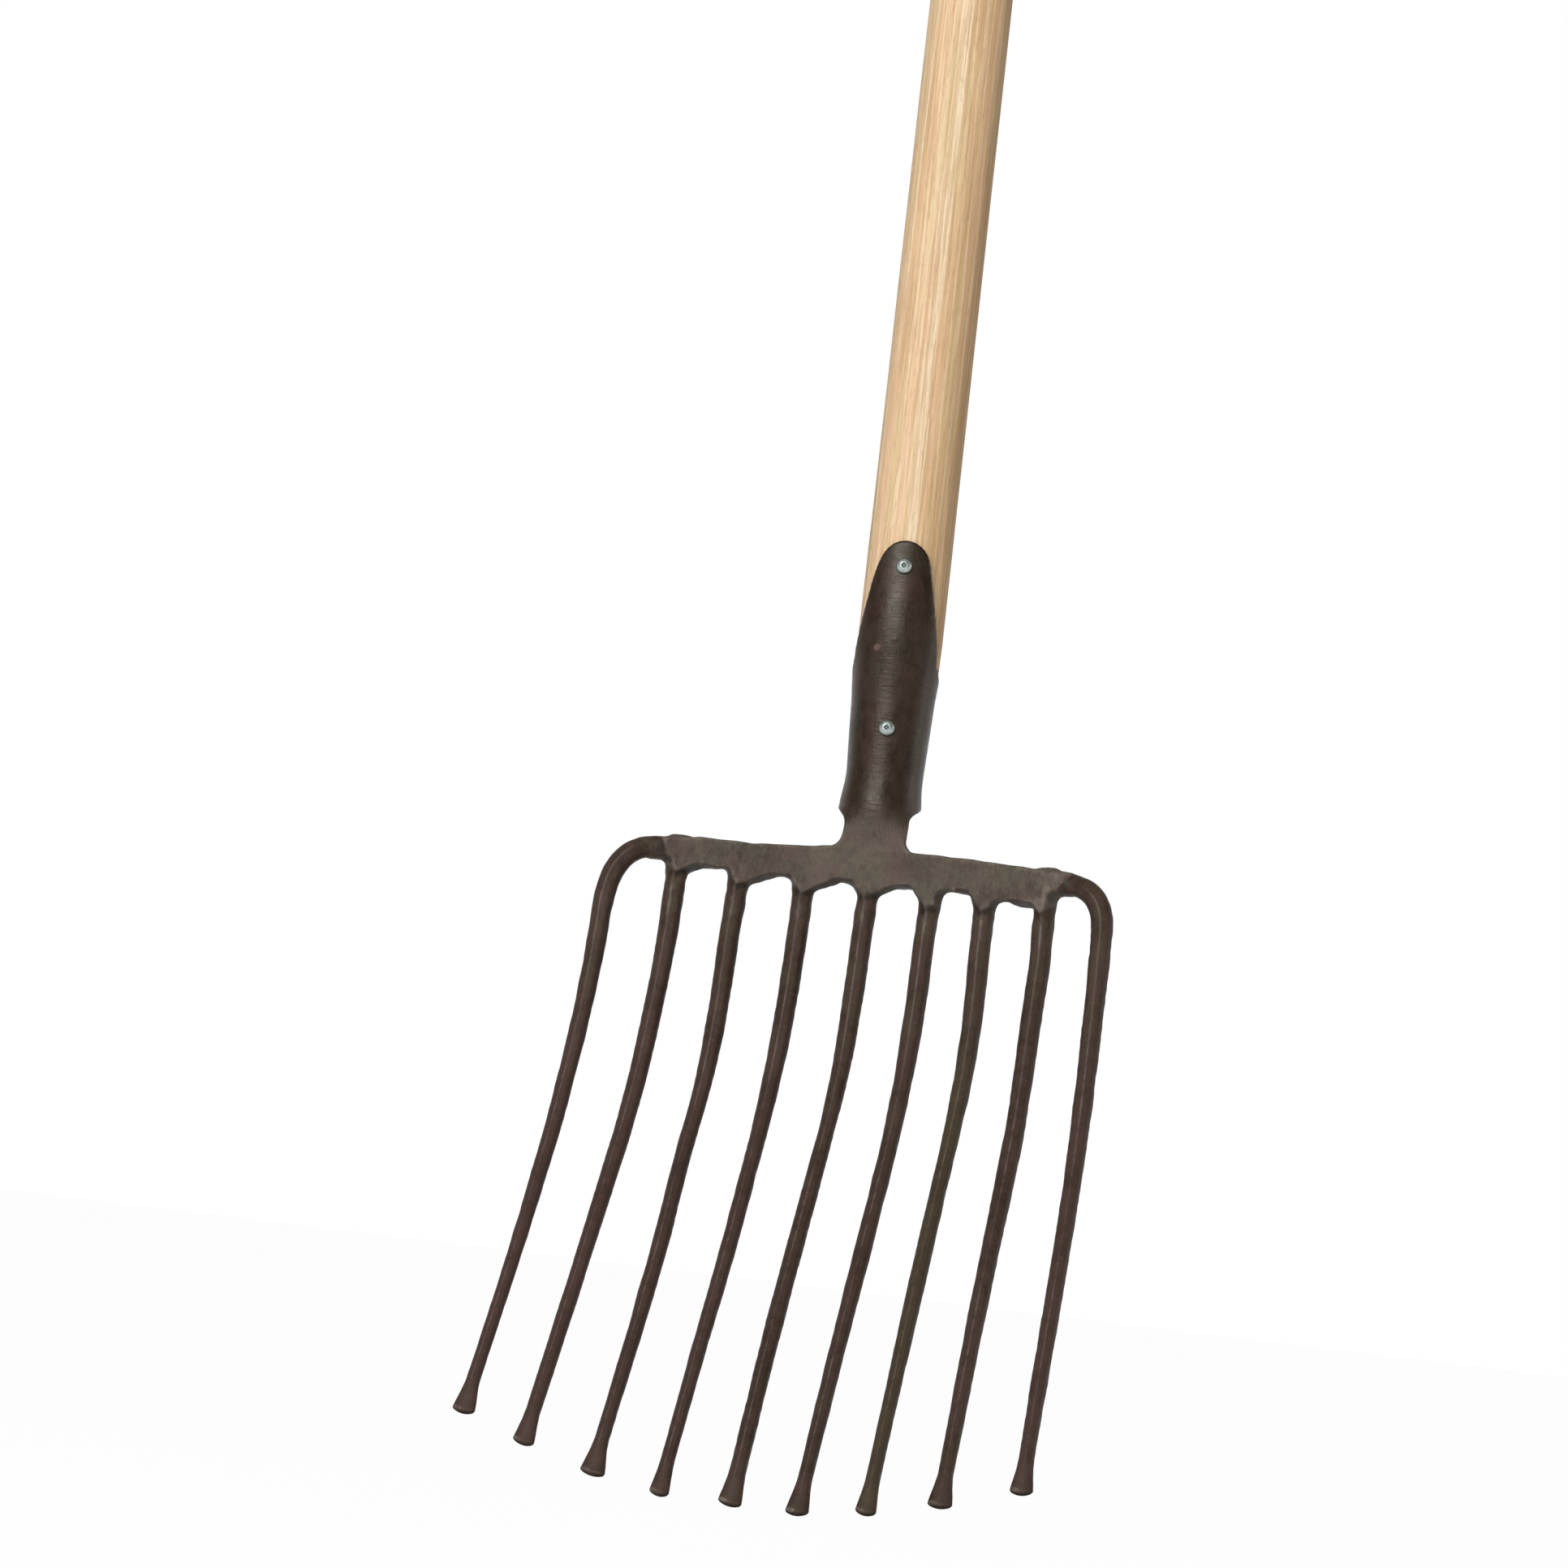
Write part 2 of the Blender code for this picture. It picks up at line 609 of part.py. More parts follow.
def build_fork():
    clear_scene()
    steel = make_finish("lacquered_forging", (0.082, 0.066, 0.054), 0.42, 0.75)
    rod_steel = make_finish("lacquered_rod", (0.052, 0.037, 0.031), 0.40, 0.75)
    ash = make_finish("ash_wood", (0.66, 0.50, 0.32), 0.52, 0.0)
    zinc = make_finish("zinc_plating", (0.60, 0.64, 0.70), 0.28, 1.0)
    handle = make_handle(ash)
    head = make_head(steel)
    tines = [make_tine(index, rod_steel) for index in range(LAST + 1)]
    for index in range(LAST + 1):
        combine(head, make_seat(index), "DIFFERENCE")
    screws = []
    for name, height in (("strap_screw", STRAP_SCREW_HEIGHT), ("socket_screw", SOCKET_SCREW_HEIGHT)):
        screws.append(make_screw(name, height, zinc))
        hole = make_screw_hole(f"{name}_hole", height)
        combine(head, hole, "DIFFERENCE")
        combine(handle, hole, "DIFFERENCE")
    for piece in (handle, head, *screws):
        settle(piece)
    centre_on_floor([handle, head, *tines, *screws])


build_fork()
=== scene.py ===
import math

import bpy
import numpy as np
from mathutils import Matrix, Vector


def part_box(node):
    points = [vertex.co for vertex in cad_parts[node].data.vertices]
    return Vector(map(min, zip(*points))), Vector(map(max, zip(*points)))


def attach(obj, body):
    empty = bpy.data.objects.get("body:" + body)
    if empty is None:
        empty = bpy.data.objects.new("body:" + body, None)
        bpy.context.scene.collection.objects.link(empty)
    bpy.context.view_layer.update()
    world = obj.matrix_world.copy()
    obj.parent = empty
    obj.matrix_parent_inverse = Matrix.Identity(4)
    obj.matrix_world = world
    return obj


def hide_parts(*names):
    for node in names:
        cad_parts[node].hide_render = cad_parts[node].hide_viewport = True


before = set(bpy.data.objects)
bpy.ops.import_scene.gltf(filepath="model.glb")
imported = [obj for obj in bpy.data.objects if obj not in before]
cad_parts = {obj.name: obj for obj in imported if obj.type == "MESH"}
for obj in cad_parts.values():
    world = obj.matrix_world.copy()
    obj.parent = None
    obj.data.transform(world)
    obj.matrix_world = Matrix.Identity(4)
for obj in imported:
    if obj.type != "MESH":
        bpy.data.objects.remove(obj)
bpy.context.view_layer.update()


# Fork head: one steel forging. The smith draws the bar down over the rods in V laps, leaves the
# neck flat, and rolls the plate above it round the ash into an open socket with a strap. The
# rods are welded in, so their upper ends and the weld's soft corners belong to this skin.

# Sizes are in millimetres and turns in radians. Lists and pairs run from left to right: over the
# nine tines, the seven inner tines with their laps, the eight gaps between tines, or the two ends.
GRID_STEP = 0.7
GRID_LOW = (-125.0, -60.0, -46.0)
GRID_HIGH = (125.0, 24.0, 142.0)
DISH_RADIUS = 182.0
FACE_BEFORE_AXIS = 17.5
BAR_DROP = 7.5
TINE_PITCH = 27.5
TINE_SHIFTS = np.array([-0.4, -0.4, -2.8, -0.8, 0.3, 1.4, -0.5, -1.4, -1.8])
TINE_SPLAYS = np.radians([0.65, -0.4, 0.5, -0.2, -0.5, -0.8, -0.6, -0.2, 1.0])
ROD_RADIUS = 4.75
ROD_INSET = 8.6
ROD_LEAN = math.radians(7.0)
HANDLE_FOOT = 31.0

# The mark is on the shaft's line, as high as the middle of the bar's top edge. Every place is
# measured from it, with x to the right and y to the back.
handle_low, handle_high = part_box("handle")
mark = np.array([(handle_low.x + handle_high.x) / 2, (handle_low.y + handle_high.y) / 2,
                 handle_low.z - HANDLE_FOOT / 1000])

# A run is a length round the dish's face. Each inner rod has its run at the bar's top edge and,
# because it leans and splays, goes aside by its lean for each millimetre that it drops.
tine_places = (np.arange(9) - 4) * TINE_PITCH + TINE_SHIFTS
tine_angles = np.arcsin(tine_places / (DISH_RADIUS + ROD_INSET))
last_angle = math.asin(4 * TINE_PITCH / (DISH_RADIUS + ROD_INSET))
root_runs = tine_angles[1:8] * DISH_RADIUS
root_leans = DISH_RADIUS * math.tan(ROD_LEAN) * np.sin(tine_angles[1:8]) / (DISH_RADIUS + ROD_INSET)
root_leans += np.tan(TINE_SPLAYS[1:8]) * np.cos(tine_angles[1:8])


def ease(value):
    """Smooth step: 0 up to 0, 1 from 1 on, and three squares less two cubes between."""
    value = np.clip(value, 0.0, 1.0)
    return value * value * (3.0 - 2.0 * value)


def weld(first, second, reach):
    """Lesser of two distances; where they differ by less than the reach, the corner is filled."""
    share = np.clip(0.5 + 0.5 * (second - first) / reach, 0.0, 1.0)
    return second + (first - second) * share - reach * share * (1.0 - share)


def trim(first, second, reach):
    """Greater of two distances, with the edge between them worn round."""
    return -weld(-first, -second, reach)


def swell(x, y, z, length, seed):
    """Sum of ten sine waves, each about one length long and in its own direction, over root 5."""
    random = np.random.default_rng(seed)
    total = 0.0
    for _ in range(10):
        way = random.normal(size=3)
        way *= 2.0 * math.pi / length / np.linalg.norm(way) * random.uniform(0.7, 1.4)
        total = total + np.sin(way[0] * x + way[1] * y + way[2] * z + random.uniform(0.0, 6.28))
    return total / math.sqrt(5.0)


def bar_level(angle):
    """Height of the bar's top edge: it falls with the square of the angle round the dish."""
    return -BAR_DROP * (angle / last_angle) ** 2


def dish_point(angle, inset, drop):
    """Point at an angle round the dish, behind the face, below the bar's top edge there."""
    radius = DISH_RADIUS + inset
    return np.stack([radius * np.sin(angle), radius * np.cos(angle) - FACE_BEFORE_AXIS - DISH_RADIUS,
                     bar_level(angle) - drop], axis=-1)


# The bar: its uneven top edge, the laps' tips and how far their sides run out for each millimetre
# that they rise, the face's ends, and the crown, shoulders and flanks of each arch. The gaps are
# told apart at one drop, and the outermost two are open to their side.
BAR_THICKNESS = 9.0
BACK_SLOPE = 0.8
BACK_SLOPE_START = 15.0
TOP_EDGE_RUNS = [-110, -92, -75, -50, -20, 0, 25, 60, 85, 110]
TOP_EDGE_RISES = [0.5, 0.2, 0.8, -0.6, 0.4, 0.3, 0.9, 0.6, 0.2, 0.7]
LAP_TIPS = np.array([14.7, 18.5, 21.0, 20.6, 23.6, 21.0, 18.6])
LAP_SHIFTS = np.array([-1.4, -0.5, -0.9, -0.9, -0.4, -0.2, 0.9])
LAP_LEFTS = np.array([0.9, 0.6, 0.7, 0.9, 0.8, 0.9, 1.0])
LAP_RIGHTS = np.array([2.8, 2.4, 2.0, 2.2, 2.0, 2.3, 1.5])
FACE_ENDS = (6.5, 11.2)
FACE_FEET = (3.5, 2.2)
FACE_END_RUN = 95.0
FACE_END_DROPS = (13.5, 16.0)
FACE_SLOPE = 2.6
SLOPE_HEIGHT = 1.3
BAR_END = 11.0
GAP_DROP = 16.0
OPEN_SIDE = 70.0
CROWNS = np.array([7.6, 13.1, 14.0, 14.9, 15.6, 14.8, 16.2, 8.4])
CROWN_TILTS = np.array([0.3, 1.0, 0.4, -0.1, 0.3, -0.3, -0.4, 0.0])
LEFT_SHOULDERS = np.array([3.0, 5.5, 11.0, 12.5, 9.0, 5.6, 5.5, 4.4])
RIGHT_SHOULDERS = np.array([4.0, 3.2, 5.4, 6.4, 7.0, 3.8, 12.0, 3.0])
LEFT_FLANKS = np.array([4.0, 3.4, 4.6, 4.6, 5.0, 5.9, 6.5, 4.6])
RIGHT_FLANKS = np.array([4.6, 6.2, 8.3, 6.7, 5.3, 3.4, 3.2, 3.6])


def bar_places(x, y, z):
    """Run round the dish, depth behind the face, and drop below the top edge as it was forged."""
    backward = y + FACE_BEFORE_AXIS + DISH_RADIUS
    angle = np.arctan2(x, backward)
    run = angle * DISH_RADIUS
    top = bar_level(angle) + np.interp(run, TOP_EDGE_RUNS, TOP_EDGE_RISES)
    return run, np.hypot(x, backward) - DISH_RADIUS, top - z


def nearest_root(run, drop):
    """Number of the gap that a place is in, the rods beside it, and the one that is nearer."""
    gap = np.searchsorted(root_runs + GAP_DROP * root_leans, run)
    before, after = np.clip(gap - 1, 0, 6), np.clip(gap, 0, 6)
    middle = (root_runs[before] + root_runs[after] + (root_leans[before] + root_leans[after]) * drop) / 2
    return gap, before, after, np.where(run < middle, before, after)


def below_face(run, drop):
    """Distance below the flat face's lower edge: the lesser of those below a crown over each gap and
    outside a V over each rod, and no less than that outside a slant at each end. It wavers a bit."""
    nearest = nearest_root(run, drop)[3]
    off_axis = run - root_runs[nearest] - LAP_SHIFTS[nearest] - root_leans[nearest] * drop
    spread = np.where(off_axis < 0.0, LAP_LEFTS[nearest], LAP_RIGHTS[nearest])
    wedge = (np.abs(off_axis) - (LAP_TIPS[nearest] - drop) * spread) / np.hypot(1.0, spread)
    centres = np.concatenate([[-FACE_END_RUN], (root_runs[1:] + root_runs[:-1]) / 2, [FACE_END_RUN]])
    crown = np.interp(run, centres, np.concatenate([FACE_END_DROPS[:1], CROWNS[1:7], FACE_END_DROPS[1:]]))
    below = weld(drop - crown + SLOPE_HEIGHT, wedge, 1.0) + 0.22 * swell(run, 0.0, drop, 6.5, 21)
    for side, root, end, foot in zip((-1, 1), (0, 6), FACE_ENDS, FACE_FEET):
        line = root_runs[root] + root_leans[root] * drop + side * (foot + end * (1.0 - drop / LAP_TIPS[root]))
        below = trim(below, side * (run - line) * LAP_TIPS[root] / math.hypot(LAP_TIPS[root], end), 0.8)
    return below


def bar_field(x, y, z):
    """Distance to the bar: its flat face and the slopes below it, its back and its ends, less a slot
    in each gap, whose crown is level or tilted and whose two shoulders are quarter rounds."""
    run, depth, drop = bar_places(x, y, z)
    gap, before, after = nearest_root(run, drop)[:3]
    left = root_runs[before] + root_leans[before] * drop + RIGHT_FLANKS[gap] - OPEN_SIDE * (gap == 0)
    right = root_runs[after] + root_leans[after] * drop - LEFT_FLANKS[gap] + OPEN_SIDE * (gap == 7)
    middle, half = (left + right) / 2, (right - left) / 2
    arch = CROWNS[gap] - CROWN_TILTS[gap] * np.clip((run - middle) / half, -1.0, 1.0)
    shoulder = np.where(run < middle, LEFT_SHOULDERS[gap], RIGHT_SHOULDERS[gap])
    aside, above = np.abs(run - middle) - half + shoulder, arch - drop + shoulder
    slot = np.minimum(np.maximum(aside, above), 0.0) - shoulder
    slot += np.hypot(np.maximum(aside, 0.0), np.maximum(above, 0.0))
    front = trim(-depth, (FACE_SLOPE * below_face(run, drop) - depth) / math.hypot(FACE_SLOPE, 1.0), 0.8)
    back = depth - BAR_THICKNESS + BACK_SLOPE * np.maximum(drop - BACK_SLOPE_START, 0.0)
    ends = np.maximum(root_runs[0] - BAR_END - run, run - root_runs[6] - BAR_END)
    body = trim(trim(front, back, 1.5), -drop, 1.4)
    return trim(trim(body, -slot, 1.0), ends, 1.0)


# The rods' upper ends, which belong to this skin. They thin out and end inside the tines' own
# skins. The outer two come round a corner, and the inner seven have the hammer's two flats.
ROD_WASTE = 0.35
ROD_TOPS = [-1.2, 2.0, 2.0, 2.0, 2.0, 2.0, -1.2]
INNER_ROD_END = 43.0
OUTER_ROD_END = 21.0
HIGH_STRAY_RUNS = [18.0, 40.0, 52.0]
HIGH_STRAYS = [0.0, 0.4, 1.3, 0.0, 0.0, -0.3, -0.9, -0.4, 0.0]
LOW_STRAYS = [0.0, 0.35, 0.1, 0.0, -0.1, -0.35, -0.4, 0.45, 0.0]
CORNER_INSET = 7.6
CORNER_LEVEL = 4.3
CORNER_REACH = 20.0
CORNER_FALLS = (32.0, 20.0)
CORNER_FULLNESS = (0.87, 0.92)
RIDGE_TURN = math.radians(266.0)
RIDGE_SPREAD = math.radians(7.0)
FLAT_TURN = math.radians(20.0)
FLAT_SHARE = 0.94


def corner_path(side):
    """Centre line of an outer rod's start: out of the bar along the dish, then a quarter oval down,
    whose sine and cosine are raised to a power a little under 1, which fills its corner out."""
    index = 4 + 4 * side
    fall, fullness = CORNER_FALLS[(side + 1) // 2], CORNER_FULLNESS[(side + 1) // 2]
    radius = DISH_RADIUS + CORNER_INSET
    begin = tine_angles[index - side]
    corner = tine_angles[index] - side * CORNER_REACH / radius
    turn = np.radians(np.linspace(0.0, 90.0, 25))
    angle = tine_angles[index] - side * CORNER_REACH * (1.0 - np.sin(turn) ** fullness) / radius
    fallen = fall * (1.0 - np.abs(np.cos(turn)) ** fullness)
    arc = dish_point(angle, CORNER_INSET, CORNER_LEVEL)
    arc[:, 2] = bar_level(corner) - CORNER_LEVEL
    arc += fallen[:, None] * [math.tan(TINE_SPLAYS[index]), -math.tan(ROD_LEAN), -1.0]
    leg = dish_point(np.linspace(begin, corner, 6)[:-1], CORNER_INSET, CORNER_LEVEL)
    return np.concatenate([leg, arc])


def high_stray(index, along):
    """How far an inner rod strays to the right of its line between its top and the bend."""
    return np.interp(along, HIGH_STRAY_RUNS, [HIGH_STRAYS[index], LOW_STRAYS[index], 0.0])


def rod_places(x, y, z, index):
    """Distance along the line of an inner rod's top, distance away from it, and angle round it."""
    root = dish_point(tine_angles[index], ROD_INSET, 0.0)
    way = np.array([math.tan(TINE_SPLAYS[index]), -math.tan(ROD_LEAN), -1.0])
    way /= np.linalg.norm(way)
    behind = np.array([0.0, 1.0, 0.0]) - way * way[1]
    behind /= np.linalg.norm(behind)
    side = np.cross(way, behind)
    x, y, z = x - root[0], y - root[1], z - root[2]
    along = x * way[0] + y * way[1] + z * way[2]
    aside = x * side[0] + y * side[1] + z * side[2] - high_stray(index, along)
    backward = x * behind[0] + y * behind[1] + z * behind[2]
    return along, np.hypot(aside, backward), np.arctan2(backward, aside) % (2.0 * math.pi)


def hammered(turn, along, index):
    """Two flats down a rod's front, each its share of the radius over the cosine of the angle from
    its middle, and the ridge that parts them. Both come and go along the rod as a sine wave."""
    off_ridge = np.abs(turn - RIDGE_TURN)
    struck = 0.84 + 0.16 * np.sin(along / 17.0 + index)
    flats = np.minimum(0.0, FLAT_SHARE / np.maximum(np.cos(off_ridge - FLAT_TURN), 0.5) - 1.0)
    return flats * struck, np.exp(-(off_ridge / RIDGE_SPREAD) ** 2) * struck


def rod_field(x, y, z, index):
    """Distance to the top of an inner rod: a round bar with its flats, thinner where it ends. Those
    of the second and the eighth tine stand proud of the bar's top edge."""
    along, away, turn = rod_places(x, y, z, index)
    radius = ROD_RADIUS - ROD_WASTE * ease((along - (INNER_ROD_END - 16.0)) / 12.0)
    radius = radius * (1.0 + hammered(turn, along, index)[0])
    return trim(trim(away - radius, ROD_TOPS[index - 1] - along, 1.4), along - INNER_ROD_END, 1.0)


def path_lengths(path):
    """Length along a path from its first point to each of its points."""
    return np.cumsum(np.linalg.norm(np.diff(path, axis=0, prepend=path[:1]), axis=1))


def outer_rod_field(x, y, z, side):
    """Distance to the start of an outer rod: the nearest of the short pieces of its corner path."""
    path = corner_path(side)
    path = path[path_lengths(path) < OUTER_ROD_END]
    nearest, travelled, walked = np.float32(1000.0), np.float32(0.0), 0.0
    for start, end in zip(path, path[1:]):
        step = end - start
        length = np.linalg.norm(step)
        share = ((x - start[0]) * step[0] + (y - start[1]) * step[1] + (z - start[2]) * step[2])
        share = np.clip(share / length ** 2, 0.0, 1.0)
        away = np.sqrt((x - start[0] - share * step[0]) ** 2 + (y - start[1] - share * step[1]) ** 2
                       + (z - start[2] - share * step[2]) ** 2)
        travelled = np.where(away < nearest, walked + share * length, travelled)
        nearest = np.minimum(nearest, away)
        walked += length
    return nearest - ROD_RADIUS + ROD_WASTE * ease((travelled - (OUTER_ROD_END - 8.0)) / 6.0)


# The plate and the ash inside it: neck, wings that close to the seam, mouth, and a strap whose
# round nose ends on flanks that flare. A scar is a place, how high it stands and how wide it is.
SHAFT_RADIUS = 19.0
CUT_RADIUS = 16.5
CUT_LEVEL = 74.0
FOOT_TAPER = 1.9
CLEARANCE = 0.3
PLATE_THICKNESS = 2.1
PLATE_OUTSIDE = CLEARANCE + PLATE_THICKNESS
PLATE_FOOT = -7.0
PLATE_TUCK = 1.6
PLATE_TURN = math.radians(5.0)
NECK_THICKNESS = 5.0
NECK_HALF_WIDTHS = (14.4, 13.7)
NECK_FLARES = (0.0, 0.25)
NECK_FLARE_START = 4.5
NECK_FLARE_HEIGHT = 8.0
NECK_FILLET = 6.5
WING_STARTS = (6.5, 10.0)
WING_LENGTHS = (21.5, 18.5)
ROLL_START = 2.0
ROLL_LENGTH = 19.0
SOCKET_FLARE = 1.5
SEAM_HALF_WIDTH = 1.5
MOUTH_TOP = 87.5
MOUTH_LENGTH = 23.5
STRAP_TOP = 139.5
STRAP_FLARE = math.radians(15.0)
STRAP_SPARE = 1.3
NOSE_RADIUS = 12.7
NOSE_MIDDLE = 126.8
NOSE_FOOT = 130.1
NOSE_HALF_WIDTH = 12.27
NOSE_DEPTH = 9.41
SCARS = (((-7.0, -20.1, 90.4), 0.3, 2.1), ((1.4, -21.1, 94.4), 0.7, 0.8), ((-0.3, -20.9, 86.7), -0.4, 0.9))


def turned_radius(z, shoulder, length):
    """Radius of the shaft at a height: drawn in down a shoulder of some length, which ends at a
    height, and tapered evenly inside the socket to its foot."""
    drawn_in = CUT_RADIUS + (SHAFT_RADIUS - CUT_RADIUS) * ease((z - shoulder) / length)
    return drawn_in - FOOT_TAPER * np.clip((CUT_LEVEL - z) / (CUT_LEVEL - HANDLE_FOOT), 0.0, 1.0)


def wood_radius(z):
    """Radius of the ash itself, whose shoulder is short."""
    return turned_radius(z, CUT_LEVEL, 22.0)


def plate_radius(z):
    """Radius that the plate was rolled on, which steps in a little lower and more gently."""
    return turned_radius(z, CUT_LEVEL - 5.0, 33.0)


def sway(z):
    """How far the socket and the wood in it stand to the left: 0.3 below the mouth, then 0.7."""
    return 0.3 * ease((100.0 - z) / 20.0) + 0.4 * ease((38.0 - z) / 16.0)


def left_spare(x, z):
    """What the strap is wider on its left, where it was cut a little off the line."""
    return STRAP_SPARE * ease((STRAP_TOP - 3.5 - z) / 14.0) * (x < 0.0)


def by_side(x, pair):
    """The first of a pair of values to the left of the shaft's line, and the second to the right."""
    return np.where(x > 0.0, pair[1], pair[0])


def plate_half_width(x, z, radius):
    """Half the plate's width round its bend: neck, closed socket with a seam, mouth and strap."""
    wrapped = math.pi * radius - SEAM_HALF_WIDTH
    strap = NOSE_HALF_WIDTH + math.tan(STRAP_FLARE) * (STRAP_TOP - z - NOSE_DEPTH) + left_spare(x, z)
    mouth = strap + (wrapped - strap) * ease((MOUTH_TOP - z) / MOUTH_LENGTH)
    flared = by_side(x, NECK_FLARES) * np.clip(z - NECK_FLARE_START, 0.0, NECK_FLARE_HEIGHT)
    neck = by_side(x, NECK_HALF_WIDTHS) + flared
    rise = np.maximum(z - by_side(x, WING_STARTS), 0.0) / by_side(x, WING_LENGTHS)
    wing = neck + (wrapped - neck) * ease(rise ** 2)
    below = np.clip(NECK_FILLET - z, 0.0, NECK_FILLET)
    return np.minimum(mouth, wing) + NECK_FILLET - np.sqrt(NECK_FILLET ** 2 - below ** 2)


def plate_places(x, y, z):
    """Distance outside the plate's outer bend, which turns from the socket's into the dish's, and
    distance past the plate's own edge along that bend."""
    x = x + sway(z)
    share = ease((z - ROLL_START) / ROLL_LENGTH)
    radius = plate_radius(z) + PLATE_OUTSIDE + SOCKET_FLARE * (1.0 - ease((z - 18.0) / 20.0))
    bend = share / radius - (1.0 - share) / DISH_RADIUS
    bend = np.where(np.abs(bend) < 1e-4, 1e-4, bend)
    inward = y + share * radius + (1.0 - share) * FACE_BEFORE_AXIS - PLATE_TUCK * ease((1.0 - z) / 5.0)
    across, through = bend * x, 1.0 - bend * inward
    outside = (bend * (x * x + inward * inward) - 2.0 * inward) / (1.0 + np.hypot(across, through))
    turn = (np.arctan2(across, through) - PLATE_TURN * radius * bend + math.pi) % (2.0 * math.pi)
    run = np.abs((turn - math.pi) / bend)
    edge = run - plate_half_width(x, z, radius)
    nose = np.hypot(run - left_spare(x, z), z - NOSE_MIDDLE) - NOSE_RADIUS
    return outside, np.where(z > NOSE_FOOT, nose, edge)


def plate_field(x, y, z):
    """Distance to the plate: its sheet, cut at its edge and at its foot, with fine forge ripples
    across the foot of the socket, and two raised scars and a small dent on the strap."""
    outside, edge = plate_places(x, y, z)
    wander = 1.6 * swell(x, y, z, 16.0, 33)
    ripple = np.sin(2.1 * z + wander) * ease((z - 7.0) / 5.0) * ease((40.0 - z) / 14.0)
    outside = outside + 0.035 * ripple
    for (scar_x, scar_y, scar_z), height, reach in SCARS:
        away = (x - scar_x) ** 2 + (y - scar_y) ** 2 + 1.6 * (z - scar_z) ** 2
        outside = outside - height * np.exp(-away / reach ** 2)
    thickness = NECK_THICKNESS - (NECK_THICKNESS - PLATE_THICKNESS) * ease((z - 7.0) / 24.0)
    sheet = np.abs(outside + thickness / 2) - thickness / 2
    return trim(trim(sheet, edge, 0.9), PLATE_FOOT - z, 1.0)


def skin(field, corner, step):
    """Surface where the field is 0. A grid cell that it passes through gets one point, the mean of
    its crossings of the cell's edges, and a grid edge that it crosses gets one four-sided face."""
    inside = field < 0.0
    filled = sum(inside[i:i - 1 or None, j:j - 1 or None, k:k - 1 or None].astype(np.uint8)
                 for i in (0, 1) for j in (0, 1) for k in (0, 1))
    cells = np.argwhere((filled > 0) & (filled < 8))
    number = np.full(filled.shape, -1, np.int32)
    number[tuple(cells.T)] = np.arange(len(cells))
    total, count = np.zeros((len(cells), 3)), np.zeros(len(cells))
    faces = []
    for axis in range(3):
        one, two = (axis + 1) % 3, (axis + 2) % 3
        for first, second in ((0, 0), (0, 1), (1, 0), (1, 1)):
            start = cells.copy()
            start[:, one] += first
            start[:, two] += second
            end = start.copy()
            end[:, axis] += 1
            low, high = field[tuple(start.T)], field[tuple(end.T)]
            crossed = (low < 0.0) != (high < 0.0)
            place = start.astype(float)
            place[:, axis] += np.where(crossed, low / np.where(crossed, low - high, 1.0), 0.0)
            total += place * crossed[:, None]
            count += crossed
        low = np.moveaxis(inside, axis, 0)[:-1]
        high = np.moveaxis(inside, axis, 0)[1:]
        edges = np.moveaxis((low != high).astype(np.uint8) * (1 + low), 0, axis)
        at = np.argwhere(edges)
        at = at[(at[:, one] > 0) & (at[:, two] > 0)]
        out = edges[tuple(at.T)] == 2
        round_edge = []
        for first, second in ((1, 1), (0, 1), (0, 0), (1, 0)):
            cell = at.copy()
            cell[:, one] -= first
            cell[:, two] -= second
            round_edge.append(number[tuple(cell.T)])
        quads = np.stack(round_edge, axis=1)
        faces.append(np.where(out[:, None], quads, quads[:, ::-1]))
    return corner + step * total / count[:, None], np.concatenate(faces)


def relax(points, faces, rounds, share):
    """Draw each point a share of the way to the mean of its face neighbours, a few times over."""
    for _ in range(rounds):
        total, count = np.zeros_like(points), np.zeros(len(points))
        for corner in range(4):
            for other in (faces[:, corner - 1], faces[:, (corner + 1) % 4]):
                for axis in range(points.shape[1]):
                    total[:, axis] += np.bincount(faces[:, corner], points[other, axis], len(points))
                count += np.bincount(faces[:, corner], minlength=len(points))
        points = points + share * (total / np.maximum(count, 1)[:, None] - points)
    return points


def new_object(name, data):
    """An object in the scene with its data, at the origin."""
    made = bpy.data.objects.new(name, data)
    bpy.context.scene.collection.objects.link(made)
    return made


def make_piece(name, points, faces, material, replaced):
    """A smooth mesh object at the origin from points in millimetres round the mark."""
    mesh = bpy.data.meshes.new(name)
    mesh.vertices.add(len(points))
    mesh.vertices.foreach_set("co", (mark + points / 1000.0).astype(np.float32).ravel())
    mesh.loops.add(faces.size)
    mesh.loops.foreach_set("vertex_index", faces.astype(np.int32).ravel())
    mesh.polygons.add(len(faces))
    mesh.polygons.foreach_set("loop_start", np.arange(0, faces.size, 4, dtype=np.int32))
    mesh.update(calc_edges=True)
    mesh.shade_smooth()
    mesh.materials.append(material)
    piece = new_object(name, mesh)
    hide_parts(replaced)
    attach(piece, "root")
    return piece


def add_node(tree, kind, settings=(), sockets=()):
    """A node with its properties and its sockets set; a socket's value may be another's output."""
    made = tree.nodes.new(kind)
    for name, value in dict(settings).items():
        setattr(made, name, value)
    for key, value in dict(sockets).items():
        if isinstance(value, bpy.types.NodeSocket):
            tree.links.new(value, made.inputs[key])
        else:
            made.inputs[key].default_value = value
    return made


def math_node(tree, operation, first, second=0.0):
    """The sum, product, or other named result of two values."""
    return add_node(tree, "ShaderNodeMath", {"operation": operation}, {0: first, 1: second}).outputs[0]


